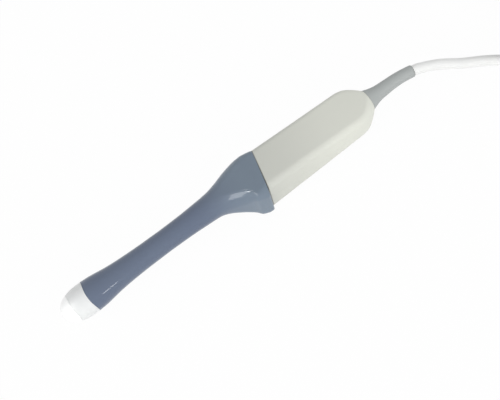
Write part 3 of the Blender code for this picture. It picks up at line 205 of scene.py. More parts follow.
def spinProfile(name, points, steps=96):  # points are (along X, radius); turned round the X axis
    deselectAll()
    bpy.ops.mesh.primitive_plane_add(size=0.001)
    piece = named(bpy.context.object, name)
    bpy.ops.object.mode_set(mode="EDIT")
    bpy.ops.mesh.select_all(action="SELECT")
    bpy.ops.mesh.merge(type="CENTER")
    bpy.ops.transform.translate(value=(points[0][0], 0, points[0][1]))
    for (x0, r0), (x1, r1) in zip(points, points[1:]):
        bpy.ops.mesh.extrude_vertices_move(TRANSFORM_OT_translate={"value": (x1 - x0, 0, r1 - r0)})
    bpy.ops.mesh.select_all(action="SELECT")
    bpy.ops.mesh.spin(steps=steps, angle=2 * math.pi, center=(0, 0, 0), axis=(1, 0, 0))
    bpy.ops.mesh.select_all(action="SELECT")
    bpy.ops.mesh.remove_doubles(threshold=0.000005)
    bpy.ops.mesh.normals_make_consistent(inside=False)
    bpy.ops.object.mode_set(mode="OBJECT")
    return piece


# Camera, lights and floor

cameraSettings = {
    "elevation": 62.0,        # degrees above the handle's seam, seen from the near side
    "turn": 10.0,             # degrees that the lens end comes nearer
    "axisAngle": 36.5,        # slope of the probe in the picture
    "pixelsPerMetre": 1380.0,
    "pictureSize": (500.0, 400.0),
    "jointPixel": (263.0, 177.7),
    "sensorWidth": 36.0,      # millimetres
    "distance": 2.2,
    "nearest": 0.05,
}


def makeCamera(s):
    e, f, a = (math.radians(s[k]) for k in ("elevation", "turn", "axisAngle"))
    toCamera = Vector((math.sin(f), math.cos(f) * math.cos(e), math.cos(f) * math.sin(e)))
    toCamera = (probePlace.to_3x3() @ toCamera).normalized()
    alongProbe = probePlace.to_3x3() @ Vector((1, 0, 0))
    lensWay = (alongProbe - alongProbe.dot(toCamera) * toCamera).normalized()
    acrossWay = toCamera.cross(lensWay)
    right = -math.cos(a) * lensWay + math.sin(a) * acrossWay
    up = -math.sin(a) * lensWay - math.cos(a) * acrossWay
    pixelX, pixelY = s["jointPixel"]
    wide, high = s["pictureSize"]
    target = probePlace @ Vector((0, 0, 0))
    target = target - ((pixelX - wide / 2) * right + (high / 2 - pixelY) * up) / s["pixelsPerMetre"]
    bpy.ops.object.camera_add()
    camera = bpy.context.object
    camera.name = "photoCamera"
    turned = Matrix((right, up, toCamera)).transposed().to_4x4()
    camera.matrix_world = Matrix.Translation(target + s["distance"] * toCamera) @ turned
    camera.data.sensor_width = s["sensorWidth"]
    camera.data.lens = s["sensorWidth"] * s["pixelsPerMetre"] / wide * s["distance"]
    camera.data.clip_start = s["nearest"]
    bpy.context.scene.camera = camera


makeCamera(cameraSettings)

lightSettings = {
    "world": 0.78, "worldColour": (0.965, 0.973, 0.985, 1),
    "gains": (-0.32, 0.34),  # the studio is brighter towards the cable and on the near side
    "lamps": {
        "softbox": {"from": (0.15, 1.00, 0.12), "size": (1.3, 1.3), "watts": 4.8, "glossy": False},
        "lensLamp": {"from": (1.20, 0.10, 0.20), "size": (0.8, 0.8), "watts": 6.5, "glossy": False},
        # lamps that are only seen mirrored, in the bell and near the nose
        "bellLamp": {"from": (0.64, 0.20, 0.68), "size": (0.26, 0.70), "roll": 49.0, "watts": 3.1,
                     "diffuse": False},
        "ridgeLamp": {"from": (0.33, -0.40, 0.85), "size": (0.05, 0.05), "watts": 0.12, "diffuse": False},
        "bandLamp": {"from": (0.64, -0.15, 0.76), "size": (0.07, 0.20), "roll": 20.0, "watts": 0.80,
                     "diffuse": False},
        "streakLamp": {"from": (-0.36, 1.27, 0.53), "size": (0.10, 0.10), "watts": 0.42, "diffuse": False},
    },
}


def makeLight(name, s):
    bpy.ops.object.light_add(type="AREA", location=s["from"])
    lamp = bpy.context.object
    lamp.name = name
    lamp.data.shape = "RECTANGLE"
    lamp.data.size, lamp.data.size_y = s["size"]
    lamp.data.energy = s["watts"]
    facing = Vector(s["from"]).to_track_quat("Z", "Y").to_matrix()
    lamp.rotation_euler = (facing @ Matrix.Rotation(math.radians(s.get("roll", 0.0)), 3, "Z")).to_euler()
    lamp.visible_glossy = s.get("glossy", True)
    lamp.visible_diffuse = s.get("diffuse", True)
    lamp.visible_camera = False


def seenRays(nodes, links):  # 1 for what is seen, also mirrored or through glass, and 0 for light
    path = nodes.new("ShaderNodeLightPath")
    seen = path.outputs["Is Camera Ray"]
    for title in ("Is Glossy Ray", "Is Transmission Ray"):
        either = nodes.new("ShaderNodeMath")
        either.operation = "MAXIMUM"
        links.new(seen, either.inputs[0])
        links.new(path.outputs[title], either.inputs[1])
        seen = either.outputs["Value"]
    return seen


def makeWorld(s):
    world = bpy.data.worlds.new("studio")
    bpy.context.scene.world = world
    world.use_nodes = True
    nodes, links = world.node_tree.nodes, world.node_tree.links
    nodes.clear()
    out = nodes.new("ShaderNodeOutputWorld")
    blendNode = nodes.new("ShaderNodeMixShader")
    light = nodes.new("ShaderNodeBackground")
    light.inputs["Color"].default_value = s["worldColour"]
    direction = nodes.new("ShaderNodeTexCoord")
    axes = nodes.new("ShaderNodeSeparateXYZ")
    links.new(direction.outputs["Generated"], axes.inputs["Vector"])
    level = None
    for axis, share in zip("XY", s["gains"]):
        gain = nodes.new("ShaderNodeMath")
        gain.operation = "MULTIPLY_ADD"
        gain.inputs[1].default_value = share
        gain.inputs[2].default_value = s["world"]
        links.new(axes.outputs[axis], gain.inputs[0])
        if level:
            links.new(level, gain.inputs[2])
        level = gain.outputs["Value"]
    links.new(level, light.inputs["Strength"])
    seen = nodes.new("ShaderNodeBackground")
    seen.inputs["Color"].default_value = (1, 1, 1, 1)
    seen.inputs["Strength"].default_value = 1.0
    links.new(seenRays(nodes, links), blendNode.inputs["Fac"])
    links.new(light.outputs["Background"], blendNode.inputs[1])
    links.new(seen.outputs["Background"], blendNode.inputs[2])
    links.new(blendNode.outputs["Shader"], out.inputs["Surface"])


floorSettings = {
    "size": 6.0, "height": -0.2 * mm, "grey": 0.86, "rough": 0.9,
    "white": 0.97,  # how far the floor is shown white, the rest shows its shadow
}


def makeFloor(s):
    deselectAll()
    bpy.ops.mesh.primitive_plane_add(size=s["size"], location=(0, 0, s["height"]))
    floor = named(bpy.context.object, "paleFloor")
    bpy.ops.object.transform_apply(location=True)
    look = bpy.data.materials.new("paleFloor")
    look.use_nodes = True
    nodes, links = look.node_tree.nodes, look.node_tree.links
    shader = nodes["Principled BSDF"]
    shader.inputs["Base Color"].default_value = (s["grey"], s["grey"], s["grey"], 1)
    shader.inputs["Roughness"].default_value = s["rough"]
    shader.inputs["Specular IOR Level"].default_value = 0.0
    glow = nodes.new("ShaderNodeEmission")
    glow.inputs["Color"].default_value = (1, 1, 1, 1)
    glow.inputs["Strength"].default_value = 1.0
    blendNode = nodes.new("ShaderNodeMixShader")
    share = nodes.new("ShaderNodeMath")
    share.operation = "MULTIPLY"
    share.inputs[1].default_value = s["white"]
    links.new(seenRays(nodes, links), share.inputs[0])
    links.new(share.outputs["Value"], blendNode.inputs["Fac"])
    links.new(shader.outputs["BSDF"], blendNode.inputs[1])
    links.new(glow.outputs["Emission"], blendNode.inputs[2])
    links.new(blendNode.outputs["Shader"], nodes["Material Output"].inputs["Surface"])
    floor.data.materials.append(look)


makeWorld(lightSettings)
for lampName, lampPlace in lightSettings["lamps"].items():
    makeLight(lampName, lampPlace)
makeFloor(floorSettings)
bpy.context.scene.view_settings.view_transform = "Standard"
print("camera, lights and floor are in place")


# Materials

def newGroup(name, inputs, outputs):
    group = bpy.data.node_groups.new(name, "ShaderNodeTree")
    for title, kind, value in inputs:
        socket = group.interface.new_socket(title, in_out="INPUT", socket_type=kind)
        socket.default_value = value
    for title, kind in outputs:
        group.interface.new_socket(title, in_out="OUTPUT", socket_type=kind)
    source = group.nodes.new("NodeGroupInput")
    result = group.nodes.new("NodeGroupOutput")
    return group, group.nodes, group.links, source, result


def mouldGrainGroup():  # fine moulded grain and a slightly uneven polish
    group, nodes, links, source, result = newGroup(
        "mouldGrain",
        [
            ("Grain Scale", "NodeSocketFloat", 1500.0),
            ("Grain Depth", "NodeSocketFloat", 0.00002),
            ("Polish", "NodeSocketFloat", 0.4),
            ("Polish Spread", "NodeSocketFloat", 0.08),
        ],
        [("Roughness", "NodeSocketFloat"), ("Normal", "NodeSocketVector")],
    )
    place = nodes.new("ShaderNodeTexCoord")
    fine = nodes.new("ShaderNodeTexNoise")
    fine.inputs["Detail"].default_value = 2.0
    broad = nodes.new("ShaderNodeTexNoise")
    broad.inputs["Scale"].default_value = 60.0
    broad.inputs["Detail"].default_value = 4.0
    links.new(place.outputs["Object"], fine.inputs["Vector"])
    links.new(place.outputs["Object"], broad.inputs["Vector"])
    links.new(source.outputs["Grain Scale"], fine.inputs["Scale"])
    bump = nodes.new("ShaderNodeBump")
    bump.inputs["Strength"].default_value = 1.0
    links.new(source.outputs["Grain Depth"], bump.inputs["Distance"])
    links.new(fine.outputs["Fac"], bump.inputs["Height"])
    spread = nodes.new("ShaderNodeMath")
    spread.operation = "SUBTRACT"
    spread.inputs[1].default_value = 0.5
    scaled = nodes.new("ShaderNodeMath")
    scaled.operation = "MULTIPLY_ADD"
    links.new(broad.outputs["Fac"], spread.inputs[0])
    links.new(spread.outputs["Value"], scaled.inputs[0])
    links.new(source.outputs["Polish Spread"], scaled.inputs[1])
    links.new(source.outputs["Polish"], scaled.inputs[2])
    links.new(scaled.outputs["Value"], result.inputs["Roughness"])
    links.new(bump.outputs["Normal"], result.inputs["Normal"])
    return group


def handledTintGroup():  # colour that drifts a little and is duller where hands have been
    group, nodes, links, source, result = newGroup(
        "handledTint",
        [
            ("Colour", "NodeSocketColor", (0.5, 0.5, 0.5, 1)),
            ("Worn Colour", "NodeSocketColor", (0.4, 0.4, 0.4, 1)),
            ("Cloud Scale", "NodeSocketFloat", 25.0),
            ("Amount", "NodeSocketFloat", 0.2),
        ],
        [("Colour", "NodeSocketColor")],
    )
    place = nodes.new("ShaderNodeTexCoord")
    cloud = nodes.new("ShaderNodeTexNoise")
    cloud.inputs["Detail"].default_value = 5.0
    cloud.inputs["Roughness"].default_value = 0.6
    links.new(place.outputs["Object"], cloud.inputs["Vector"])
    links.new(source.outputs["Cloud Scale"], cloud.inputs["Scale"])
    share = nodes.new("ShaderNodeMath")
    share.operation = "MULTIPLY"
    links.new(cloud.outputs["Fac"], share.inputs[0])
    links.new(source.outputs["Amount"], share.inputs[1])
    blendNode = nodes.new("ShaderNodeMix")
    blendNode.data_type = "RGBA"
    links.new(share.outputs["Value"], blendNode.inputs["Factor"])
    links.new(source.outputs["Colour"], blendNode.inputs[6])
    links.new(source.outputs["Worn Colour"], blendNode.inputs[7])
    links.new(blendNode.outputs[2], result.inputs["Colour"])
    return group


# Also carries painted light: the handle lighter towards its rear and darker towards the bell, and the bell
# lighter than the shaft, partly painted light and partly the plastic's own tint.
def zoneTintAndPaintedLightGroup():  # one colour that passes into another along X
    group, nodes, links, source, result = newGroup(
        "zoneTintAndPaintedLight",
        [
            ("Colour", "NodeSocketColor", (0.5, 0.5, 0.5, 1)),
            ("Second Colour", "NodeSocketColor", (0.4, 0.4, 0.4, 1)),
            ("From", "NodeSocketFloat", 0.0),
            ("To", "NodeSocketFloat", 0.1),
        ],
        [("Colour", "NodeSocketColor")],
    )
    place = nodes.new("ShaderNodeTexCoord")
    axes = nodes.new("ShaderNodeSeparateXYZ")
    reach = nodes.new("ShaderNodeMapRange")
    reach.interpolation_type = "SMOOTHSTEP"
    blendNode = nodes.new("ShaderNodeMix")
    blendNode.data_type = "RGBA"
    links.new(place.outputs["Object"], axes.inputs["Vector"])
    links.new(axes.outputs["X"], reach.inputs["Value"])
    links.new(source.outputs["From"], reach.inputs["From Min"])
    links.new(source.outputs["To"], reach.inputs["From Max"])
    links.new(reach.outputs["Result"], blendNode.inputs["Factor"])
    links.new(source.outputs["Colour"], blendNode.inputs[6])
    links.new(source.outputs["Second Colour"], blendNode.inputs[7])
    links.new(blendNode.outputs[2], result.inputs["Colour"])
    return group


mouldGrain = mouldGrainGroup()
handledTint = handledTintGroup()
zoneTintAndPaintedLight = zoneTintAndPaintedLightGroup()
polishSpread = 0.1  # how far the polish drifts over a piece


def linear(r, g, b):  # screen colour to the shader's linear colour
    def one(v):
        v = v / 255
        return v / 12.92 if v <= 0.04045 else ((v + 0.055) / 1.055) ** 2.4
    return (one(r), one(g), one(b), 1.0)


def makeLook(s):
    look = bpy.data.materials.new(s["name"])
    look.use_nodes = True
    nodes, links = look.node_tree.nodes, look.node_tree.links
    shader = nodes["Principled BSDF"]
    tint = nodes.new("ShaderNodeGroup")
    tint.node_tree = handledTint
    tint.inputs["Colour"].default_value = linear(*s["colour"])
    tint.inputs["Worn Colour"].default_value = linear(*s.get("worn", s["colour"]))
    tint.inputs["Cloud Scale"].default_value = s.get("cloud", 30.0)
    tint.inputs["Amount"].default_value = s.get("wear", 0.3)
    if "second" in s:
        zone = nodes.new("ShaderNodeGroup")
        zone.node_tree = zoneTintAndPaintedLight
        zone.inputs["Colour"].default_value = linear(*s["colour"])
        zone.inputs["Second Colour"].default_value = linear(*s["second"])
        zone.inputs["From"].default_value, zone.inputs["To"].default_value = s["zone"]
        links.new(zone.outputs["Colour"], tint.inputs["Colour"])
    grain = nodes.new("ShaderNodeGroup")
    grain.node_tree = mouldGrain
    grain.inputs["Grain Scale"].default_value = s.get("grainScale", 1500.0)
    grain.inputs["Grain Depth"].default_value = s.get("grainDepth", 0.00001)
    grain.inputs["Polish"].default_value = s["rough"]
    grain.inputs["Polish Spread"].default_value = polishSpread
    links.new(tint.outputs["Colour"], shader.inputs["Base Color"])
    links.new(grain.outputs["Roughness"], shader.inputs["Roughness"])
    links.new(grain.outputs["Normal"], shader.inputs["Normal"])
    shader.inputs["Metallic"].default_value = s.get("metal", 0.0)
    shader.inputs["Specular IOR Level"].default_value = s.get("specular", 0.5)
    shader.inputs["Coat Weight"].default_value = s.get("coat", 0.0)
    shader.inputs["Coat Roughness"].default_value = s.get("coatRough", 0.1)
    return look


looks = {s["name"]: makeLook(s) for s in (
    {"name": "lensSilicone", "colour": (253, 253, 252), "worn": (250, 250, 250), "rough": 0.38,
     "grainDepth": 0.000004},
    {"name": "noseResin", "colour": (226, 227, 226), "worn": (219, 220, 219), "rough": 0.34,
     "grainDepth": 0.000005},
    # The bell is lighter and greener than the shaft, blending from -8 to 38 mm: partly the plastic's own
    # tint, partly painted light.
    {"name": "shaftBlue", "colour": (118, 132, 145), "second": (94, 105, 126), "zone": (-8 * mm, 38 * mm),
     "worn": (101, 112, 128), "wear": 0.5, "cloud": 30.0, "rough": 0.36, "grainDepth": 0.000004,
     "specular": 0.1, "coat": 0.6, "coatRough": 0.05},
    # The handle is painted lighter towards its rounded rear and darker towards the bell, from -95 to -15
    # mm: painted light and shade, not a change in the plastic.
    {"name": "handleIvory", "colour": (221, 222, 212), "second": (200, 201, 193),
     "zone": (-95 * mm, -15 * mm), "worn": (207, 207, 195), "rough": 0.46, "grainDepth": 0.000012},
    {"name": "bootGrey", "colour": (170, 174, 172), "worn": (160, 163, 162), "rough": 0.55,
     "grainDepth": 0.000012},
    {"name": "cableWhite", "colour": (240, 240, 238), "worn": (230, 230, 226), "rough": 0.42,
     "grainDepth": 0.000006},
    {"name": "sealDark", "colour": (128, 129, 124), "worn": (136, 136, 130), "rough": 0.6},
    {"name": "strapBlack", "colour": (46, 48, 52), "worn": (70, 72, 76), "rough": 0.8,
     "grainScale": 900.0, "grainDepth": 0.00008},
    {"name": "caseBlack", "colour": (60, 63, 68), "worn": (74, 77, 82), "rough": 0.5,
     "grainDepth": 0.00002},
    {"name": "copper", "colour": (214, 150, 110), "worn": (170, 110, 80), "rough": 0.32, "metal": 1.0},
    {"name": "steel", "colour": (188, 190, 194), "worn": (160, 162, 166), "rough": 0.28, "metal": 1.0},
    {"name": "boardGreen", "colour": (30, 96, 58), "worn": (24, 80, 50), "rough": 0.45},
    {"name": "filmAmber", "colour": (198, 126, 50), "worn": (180, 110, 40), "rough": 0.3},
    {"name": "ceramicPale", "colour": (200, 194, 176), "worn": (184, 178, 160), "rough": 0.55},
    {"name": "epoxyDark", "colour": (58, 58, 62), "worn": (44, 44, 48), "rough": 0.6},
)}
print("materials are made")


# Probe cable: one length from the boot, through the stored coil, to the connector

bootSettings = {
    "handleEnd": -96.8 * mm, "length": 39.8 * mm, "straight": 20.0 * mm,
    "bend": 5.0, "sag": 1.9,  # sideways and down, per metre
    "baseRadius": 8.3 * mm, "endRadius": 4.65 * mm, "bore": 3.7 * mm,
    "rearGap": 0.1 * mm, "tipGap": 0.3 * mm, "steps": 44, "tapered": 0.97,
    "tipRound": ((0.985, 0.06 * mm), (0.996, 0.22 * mm)), "tipInset": 0.5 * mm,  # the rounded end
    "form": ((0, 0), (0.045, 0.18), (0.12, 0.45), (0.195, 0.64), (0.27, 0.75), (0.36, 0.81),
             (0.5, 0.90), (0.66, 0.95), (0.82, 0.985), (0.96, 1.0)),
}


def cableFrame(x):  # centre and heading of the cable behind the handle, in the probe's own axes
    s = bootSettings
    back = max(0.0, s["handleEnd"] - s["straight"] - x)
    centre = Vector((x, s["bend"] * back**2, -s["sag"] * back**2))
    heading = Vector((-1, 2 * s["bend"] * back, -2 * s["sag"] * back)).normalized()
    return centre, heading


cableSettings = {
    "radius": 4.0 * mm,
    "gap": 0.3 * mm,
    # the lead from the boot to the coil: X and Y from the boot's end, height from the floor
    "lead": (
        (-19.0, 6.0, 14.0), (-34.0, 13.0, 7.8), (-50.0, 21.5, 4.6), (-63.0, 32.0, 4.1), (-70.0, 40.5, 4.1),
    ),
    "straightOut": 4.0 * mm, "straightIn": 8.0 * mm, "dip": -0.6 * mm, "leadSteps": 40,
    "coilCentre": (-282.165 * mm, 33.647 * mm),
    "coilOuter": 48.0 * mm, "coilInner": 32.0 * mm,
    "coilBottom": 5.5 * mm, "layer": 8.0 * mm, "layers": 4,
    "arriveAngle": 35.0, "turnAngle": 2980.0, "climb": 60.0, "stepAngle": 7.5,
    "tailRadius": 40.0 * mm, "tailAngle": 45, "tailSteps": 16, "tailClear": 2.0 * mm,
    "tailLevel": 0.45,  # share of the tail before it leaves the coil's height
    "connectorAt": (-421.665 * mm, 55.647 * mm), "connectorSeam": 24.0 * mm, "connectorReach": 72.6 * mm,
}


def coilPoint(s, angle):  # a point of the wound turns, angle in degrees from where the lead arrives
    perLayer = s["turnAngle"] / s["layers"]
    layer = min(s["layers"] - 1, int(angle / perLayer))
    within = angle - layer * perLayer
    half = s["climb"] / 2
    share = min(1.0, max(0.0, (within - half) / (perLayer - s["climb"])))
    inward = share if layer % 2 == 0 else 1 - share
    radius = mix(s["coilOuter"], s["coilInner"], inward)
    height = s["coilBottom"]
    for k in range(1, s["layers"]):
        u = min(1.0, max(0.0, (angle - k * perLayer + half) / s["climb"]))
        height += s["layer"] * u * u * (3 - 2 * u)
    turn = math.radians(s["arriveAngle"] + angle)
    cx, cy = s["coilCentre"]
    return Vector((cx + radius * math.cos(turn), cy + radius * math.sin(turn), height))


def cablePath(s):
    end = bootSettings["handleEnd"] - s["gap"] - bootSettings["length"]
    centre, heading = cableFrame(end)
    leave = probePlace @ centre
    heading = (probePlace.to_3x3() @ heading).normalized()
    route = [leave + s["straightOut"] * heading]
    route += [Vector((leave.x + dx * mm, leave.y + dy * mm, z * mm)) for dx, dy, z in s["lead"]]
    first = coilPoint(s, 0.0)
    turn = math.radians(s["arriveAngle"])
    arriving = Vector((-math.sin(turn), math.cos(turn), 0))
    route += [first - s["straightIn"] * arriving + Vector((0, 0, s["dip"])), first]
    rows, length = [], 0.0
    for k, point in enumerate(route):
        length += (point - route[k - 1]).length if k else 0.0
        rows.append((length, *point))
    points = [leave + s["gap"] * heading]
    points += [Vector(readCurve(rows, length * k / s["leadSteps"])) for k in range(s["leadSteps"])]
    steps = int(s["turnAngle"] / s["stepAngle"])
    points += [coilPoint(s, s["turnAngle"] * k / steps) for k in range(steps + 1)]
    last = points[-1]
    way = math.radians(s["arriveAngle"] + s["turnAngle"] + 90)
    hub = last + s["tailRadius"] * Vector((math.sin(way), -math.cos(way), 0))
    plugX, plugY = s["connectorAt"]
    finish = Vector((plugX + s["connectorReach"] + s["gap"], plugY, s["connectorSeam"]))
    count = s["tailSteps"]
    tail = []
    for k in range(1, count + 1):
        angle = mix(way, way - math.radians(s["tailAngle"]), k / count)
        drop = min(1.0, max(0.0, (k / count - s["tailLevel"]) / (1 - s["tailLevel"])))
        ease = drop * drop * (3 - 2 * drop)
        spot = hub + s["tailRadius"] * Vector((-math.sin(angle), math.cos(angle), 0))
        tail.append(Vector((spot.x, spot.y, mix(last.z, finish.z, ease))))
    shift = finish.y - tail[-1].y
    for k, spot in enumerate(tail):
        spot.y += shift * ((k + 1) / count) ** 2
    points += [spot for spot in tail if spot.x > finish.x + s["tailClear"]]
    points.append(finish)
    return leave, points


cableLeave, cablePoints = cablePath(cableSettings)


def makeCable():
    curve = bpy.data.curves.new("probeCable", "CURVE")
    curve.dimensions = "3D"
    curve.bevel_depth = cableSettings["radius"]
    curve.bevel_resolution = 7
    curve.use_fill_caps = True
    line = curve.splines.new("POLY")
    line.points.add(len(cablePoints) - 1)
    for spot, point in zip(line.points, cablePoints):
        spot.co = (*point, 1.0)
    line.use_smooth = True
    curve.materials.append(looks["cableWhite"])
    piece = bpy.data.objects.new("probeCable", curve)
    bpy.context.scene.collection.objects.link(piece)
    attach(piece, "probe_and_cable")
    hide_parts("probe_cable", "cable_coil", "connector_lead")
    return piece


cable = makeCable()


# Blue shaft shell, whose end runs further over the nose on its broad sides

noseSettings = {
    "gap": 0.08, "radius": 12.4, "shoulder": 156.0, "tip": 176.2, "fullness": 2.2, "lensX": 166.8,
    "bore": 9.8, "boreDepth": 3.0, "rearWall": 2.2, "rearChamfer": 3.0, "innerWall": 3.2,
    "edge": 0.35, "edgeBack": 0.08, "edgeIn": 0.03, "faceIn": 0.12,  # soft edge where ring and lens meet
    "lensEdge": 0.3, "ringSteps": 26, "lensSteps": 40,
    "shellWrap": 3.4, "lensWrap": 1.9,
    "roll": 28.0,  # degrees that the broad sides are turned about the shaft's axis
}


def wrapShare(point):  # 1 on the broad sides, 0 between them
    y, z = point.y - shaftSettings["axis"] * mm, point.z
    roll = math.radians(noseSettings["roll"])
    distance = math.hypot(y, z)
    return ((y * math.sin(roll) + z * math.cos(roll)) / distance) ** 2 if distance > 0.1 * mm else 0.0


shaftSettings = {
    "axis": -6.1, "wall": 1.2, "noseX": 152.3, "noseRadius": 12.4,
    "neckX": 84.0, "neckRadius": 8.4, "bellX": 46.0, "bellRadius": 9.7,
    "toNose": ((0, 0), (0.30, 0.076), (0.52, 0.23), (0.69, 0.45), (0.80, 0.70), (0.90, 0.92), (1, 1)),
    "toBell": ((0, 0), (0.52, 0.28), (1, 1)),
    "rimNear": 20.7, "rimFar": 17.7, "rimDepth": 31.8, "rimCorner": 6.2, "jointX": 0.5, "slant": 15.4,
    "rimRound": 1.4, "rimRoundFar": 0.3, "rimRoundDeep": 0.4, "rimLand": 1.5,
    "noseEdge": ((0.0, 0.20), (0.06, 0.06), (0.20, 0.0)),  # softened edge: back from the end, in
    "wrapReach": 0.2,  # share of the shaft over which its end runs over the nose
    # near place, far place, near reach, far reach, depth, squareness, radius of the ridge on the near side
    "bell": (
        (0.00, 0.00, 0.00, 0.00, 0.00, 0.00, 9.7),
        (0.15, 0.14, 0.035, 0.37, 0.10, 0.05, 9.7),
        (0.30, 0.29, 0.16, 1.10, 0.26, 0.20, 9.7),
        (0.45, 0.45, 0.35, 2.05, 0.47, 0.40, 9.8),
        (0.575, 0.59, 0.53, 2.60, 0.66, 0.55, 9.2),
        (0.686, 0.70, 0.715, 2.70, 0.82, 0.70, 7.6),
        (0.755, 0.78, 0.895, 2.55, 0.91, 0.79, 6.0),
        (0.805, 0.825, 0.945, 2.38, 0.95, 0.86, 5.6),
        (0.855, 0.87, 0.975, 2.00, 0.97, 0.92, 6.2),
        (0.90, 0.91, 1.00, 1.70, 0.99, 0.96, 7.2),
        (1.00, 1.00, 1.00, 1.00, 1.00, 1.00, 8.5),
    ),
    "bellSteps": 66, "shaftSteps": 44, "arc": 16,
    "bellEnd": 0.99, "rimRows": [0.993, 0.996, 0.9985, 1.0],  # closer sections where the rim is rounded
}


def jointX(y, s=shaftSettings):
    return s["jointX"] + math.tan(math.radians(s["slant"])) * y


def shaftRadius(x, s=shaftSettings):
    if x >= s["neckX"]:
        share = readCurve(s["toNose"], (x - s["neckX"]) / (s["noseX"] - s["neckX"]))[0]
        return mix(s["neckRadius"], s["noseRadius"], share)
    share = readCurve(s["toBell"], (s["neckX"] - x) / (s["neckX"] - s["bellX"]))[0]
    return mix(s["neckRadius"], s["bellRadius"], share)


def bellSection(share, s=shaftSettings):
    rows = [(i / (len(s["bell"]) - 1), *row) for i, row in enumerate(s["bell"])]
    atNear, atFar, rise, fall, deep, square, ridge = readCurve(rows, share)
    near = mix(s["axis"] + s["bellRadius"], s["rimNear"], rise)
    far = mix(s["axis"] - s["bellRadius"], -s["rimFar"], fall)
    depth = mix(2 * s["bellRadius"], s["rimDepth"], deep)
    corner = mix(depth / 2, s["rimCorner"], square)
    xFar = mix(s["bellX"], jointX(-s["rimFar"]), atFar)
    xNear = mix(s["bellX"], jointX(s["rimNear"]), atNear)
    toJoint = max(0.0, 1 - (xNear - jointX(s["rimNear"])) / s["rimRound"])  # the rim's edge is rounded
    inset = s["rimRound"] * (1 - math.sqrt(1 - min(1.0, toJoint) ** 2))
    far, near, depth = far + s["rimRoundFar"] * inset, near - inset, depth - s["rimRoundDeep"] * inset
    return far, near, depth, corner, ridge, xFar, xNear


def makeShaft(s):
    piece = startMesh("shaftShell")
    rings = [(s["noseX"] - back, s["noseRadius"] - inset) for back, inset in s["noseEdge"]]
    for k in range(1, s["shaftSteps"]):
        x = mix(s["noseX"], s["bellX"], k / s["shaftSteps"])
        rings.append((x, shaftRadius(x)))
    for x, r in rings:
        addSection(*(v * mm for v in (s["axis"] - r, s["axis"] + r, 2 * r, r, r, x, x)), s["arc"])
    places = [s["bellEnd"] * k / s["bellSteps"] for k in range(s["bellSteps"] + 1)]
    for share in places + s["rimRows"]:
        addSection(*(v * mm for v in bellSection(share)), s["arc"])
    far, near, depth, corner, ridge, xFar, xNear = bellSection(1.0)
    land = s["rimLand"]  # flat end face that meets the seal
    lean = land * (xNear - xFar) / (near - far)
    inner = (far + land, near - land, depth - 2 * land, corner - land, ridge - land)
    inner += (xFar + lean, xNear - lean)
    addSection(*(v * mm for v in inner), s["arc"])
    skinSections()
    bpy.ops.object.mode_set(mode="OBJECT")
    reach = s["wrapReach"] * (s["noseX"] - s["bellX"])
    for v in piece.data.vertices:  # the broad sides run further over the nose
        x = v.co.x / mm
        fade = max(0.0, 1 - (s["noseX"] - x) / reach)
        v.co.x += noseSettings["shellWrap"] * mm * fade * wrapShare(v.co)
    giveWall(piece, s["wall"] * mm)
    shadeSmooth(piece, 50)
    layDown(piece)
    piece.data.materials.append(looks["shaftBlue"])
    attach(piece, "probe_and_cable")
    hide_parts("shaft_shell")


makeShaft(shaftSettings)
print("shaft shell is made")


def noseRadius(x, s=noseSettings):
    if x <= s["shoulder"]:
        return s["radius"]
    share = (x - s["shoulder"]) / (s["tip"] - s["shoulder"])
    return s["radius"] * max(0.0, 1 - share ** s["fullness"]) ** (1 / s["fullness"])


def makeNose(s):
    start = shaftSettings["noseX"] + s["gap"]
    count = s["ringSteps"]
    stations = [mix(start, s["lensX"] - s["edge"], k / count) for k in range(count + 1)]
    rim = noseRadius(s["lensX"])
    points = [(x, noseRadius(x)) for x in stations]
    points += [(s["lensX"] - s["edgeBack"], rim - s["edgeIn"]), (s["lensX"], rim - s["faceIn"])]
    points += [(s["lensX"], s["bore"]), (s["lensX"] - s["boreDepth"], s["bore"])]
    points += [(start + s["rearChamfer"], s["radius"] - s["innerWall"])]
    points += [(start, s["radius"] - s["rearWall"])]
    points.append(points[0])
    piece = spinProfile("noseRing", [(x * mm, r * mm) for x, r in points])
    for v in piece.data.vertices:
        v.co.y += shaftSettings["axis"] * mm
        share = (v.co.x / mm - start) / (s["lensX"] - start)
        v.co.x += mix(s["shellWrap"], s["lensWrap"], share) * mm * wrapShare(v.co)
    shadeSmooth(piece, 40)
    layDown(piece)
    piece.data.materials.append(looks["noseResin"])
    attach(piece, "probe_and_cable")
    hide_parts("nose_ring")


def makeLens(s):
    start = s["lensX"] + s["gap"]
    points = [(start * mm, 0.0), (start * mm, (noseRadius(start) - s["faceIn"]) * mm)]
    points.append(((start + s["edgeBack"]) * mm, (noseRadius(start) - s["edgeIn"]) * mm))
    count = s["lensSteps"]
    for k in range(1, count + 1):
        share = math.sin(math.pi / 2 * k / count)
        x = mix(start + s["lensEdge"], s["tip"], share)
        points.append((x * mm, noseRadius(x) * mm))
    piece = spinProfile("acousticLens", points)
    for v in piece.data.vertices:
        v.co.y += shaftSettings["axis"] * mm
        share = (v.co.x / mm - start) / (s["tip"] - start)
        v.co.x += s["lensWrap"] * (1 - share) * mm * wrapShare(v.co)
    shadeSmooth(piece, 40)
    layDown(piece)
    piece.data.materials.append(looks["lensSilicone"])
    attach(piece, "probe_and_cable")
    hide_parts("acoustic_lens")


makeNose(noseSettings)
makeLens(noseSettings)
print("nose and lens are made")


# Handle, two halves, and the seal in its joint

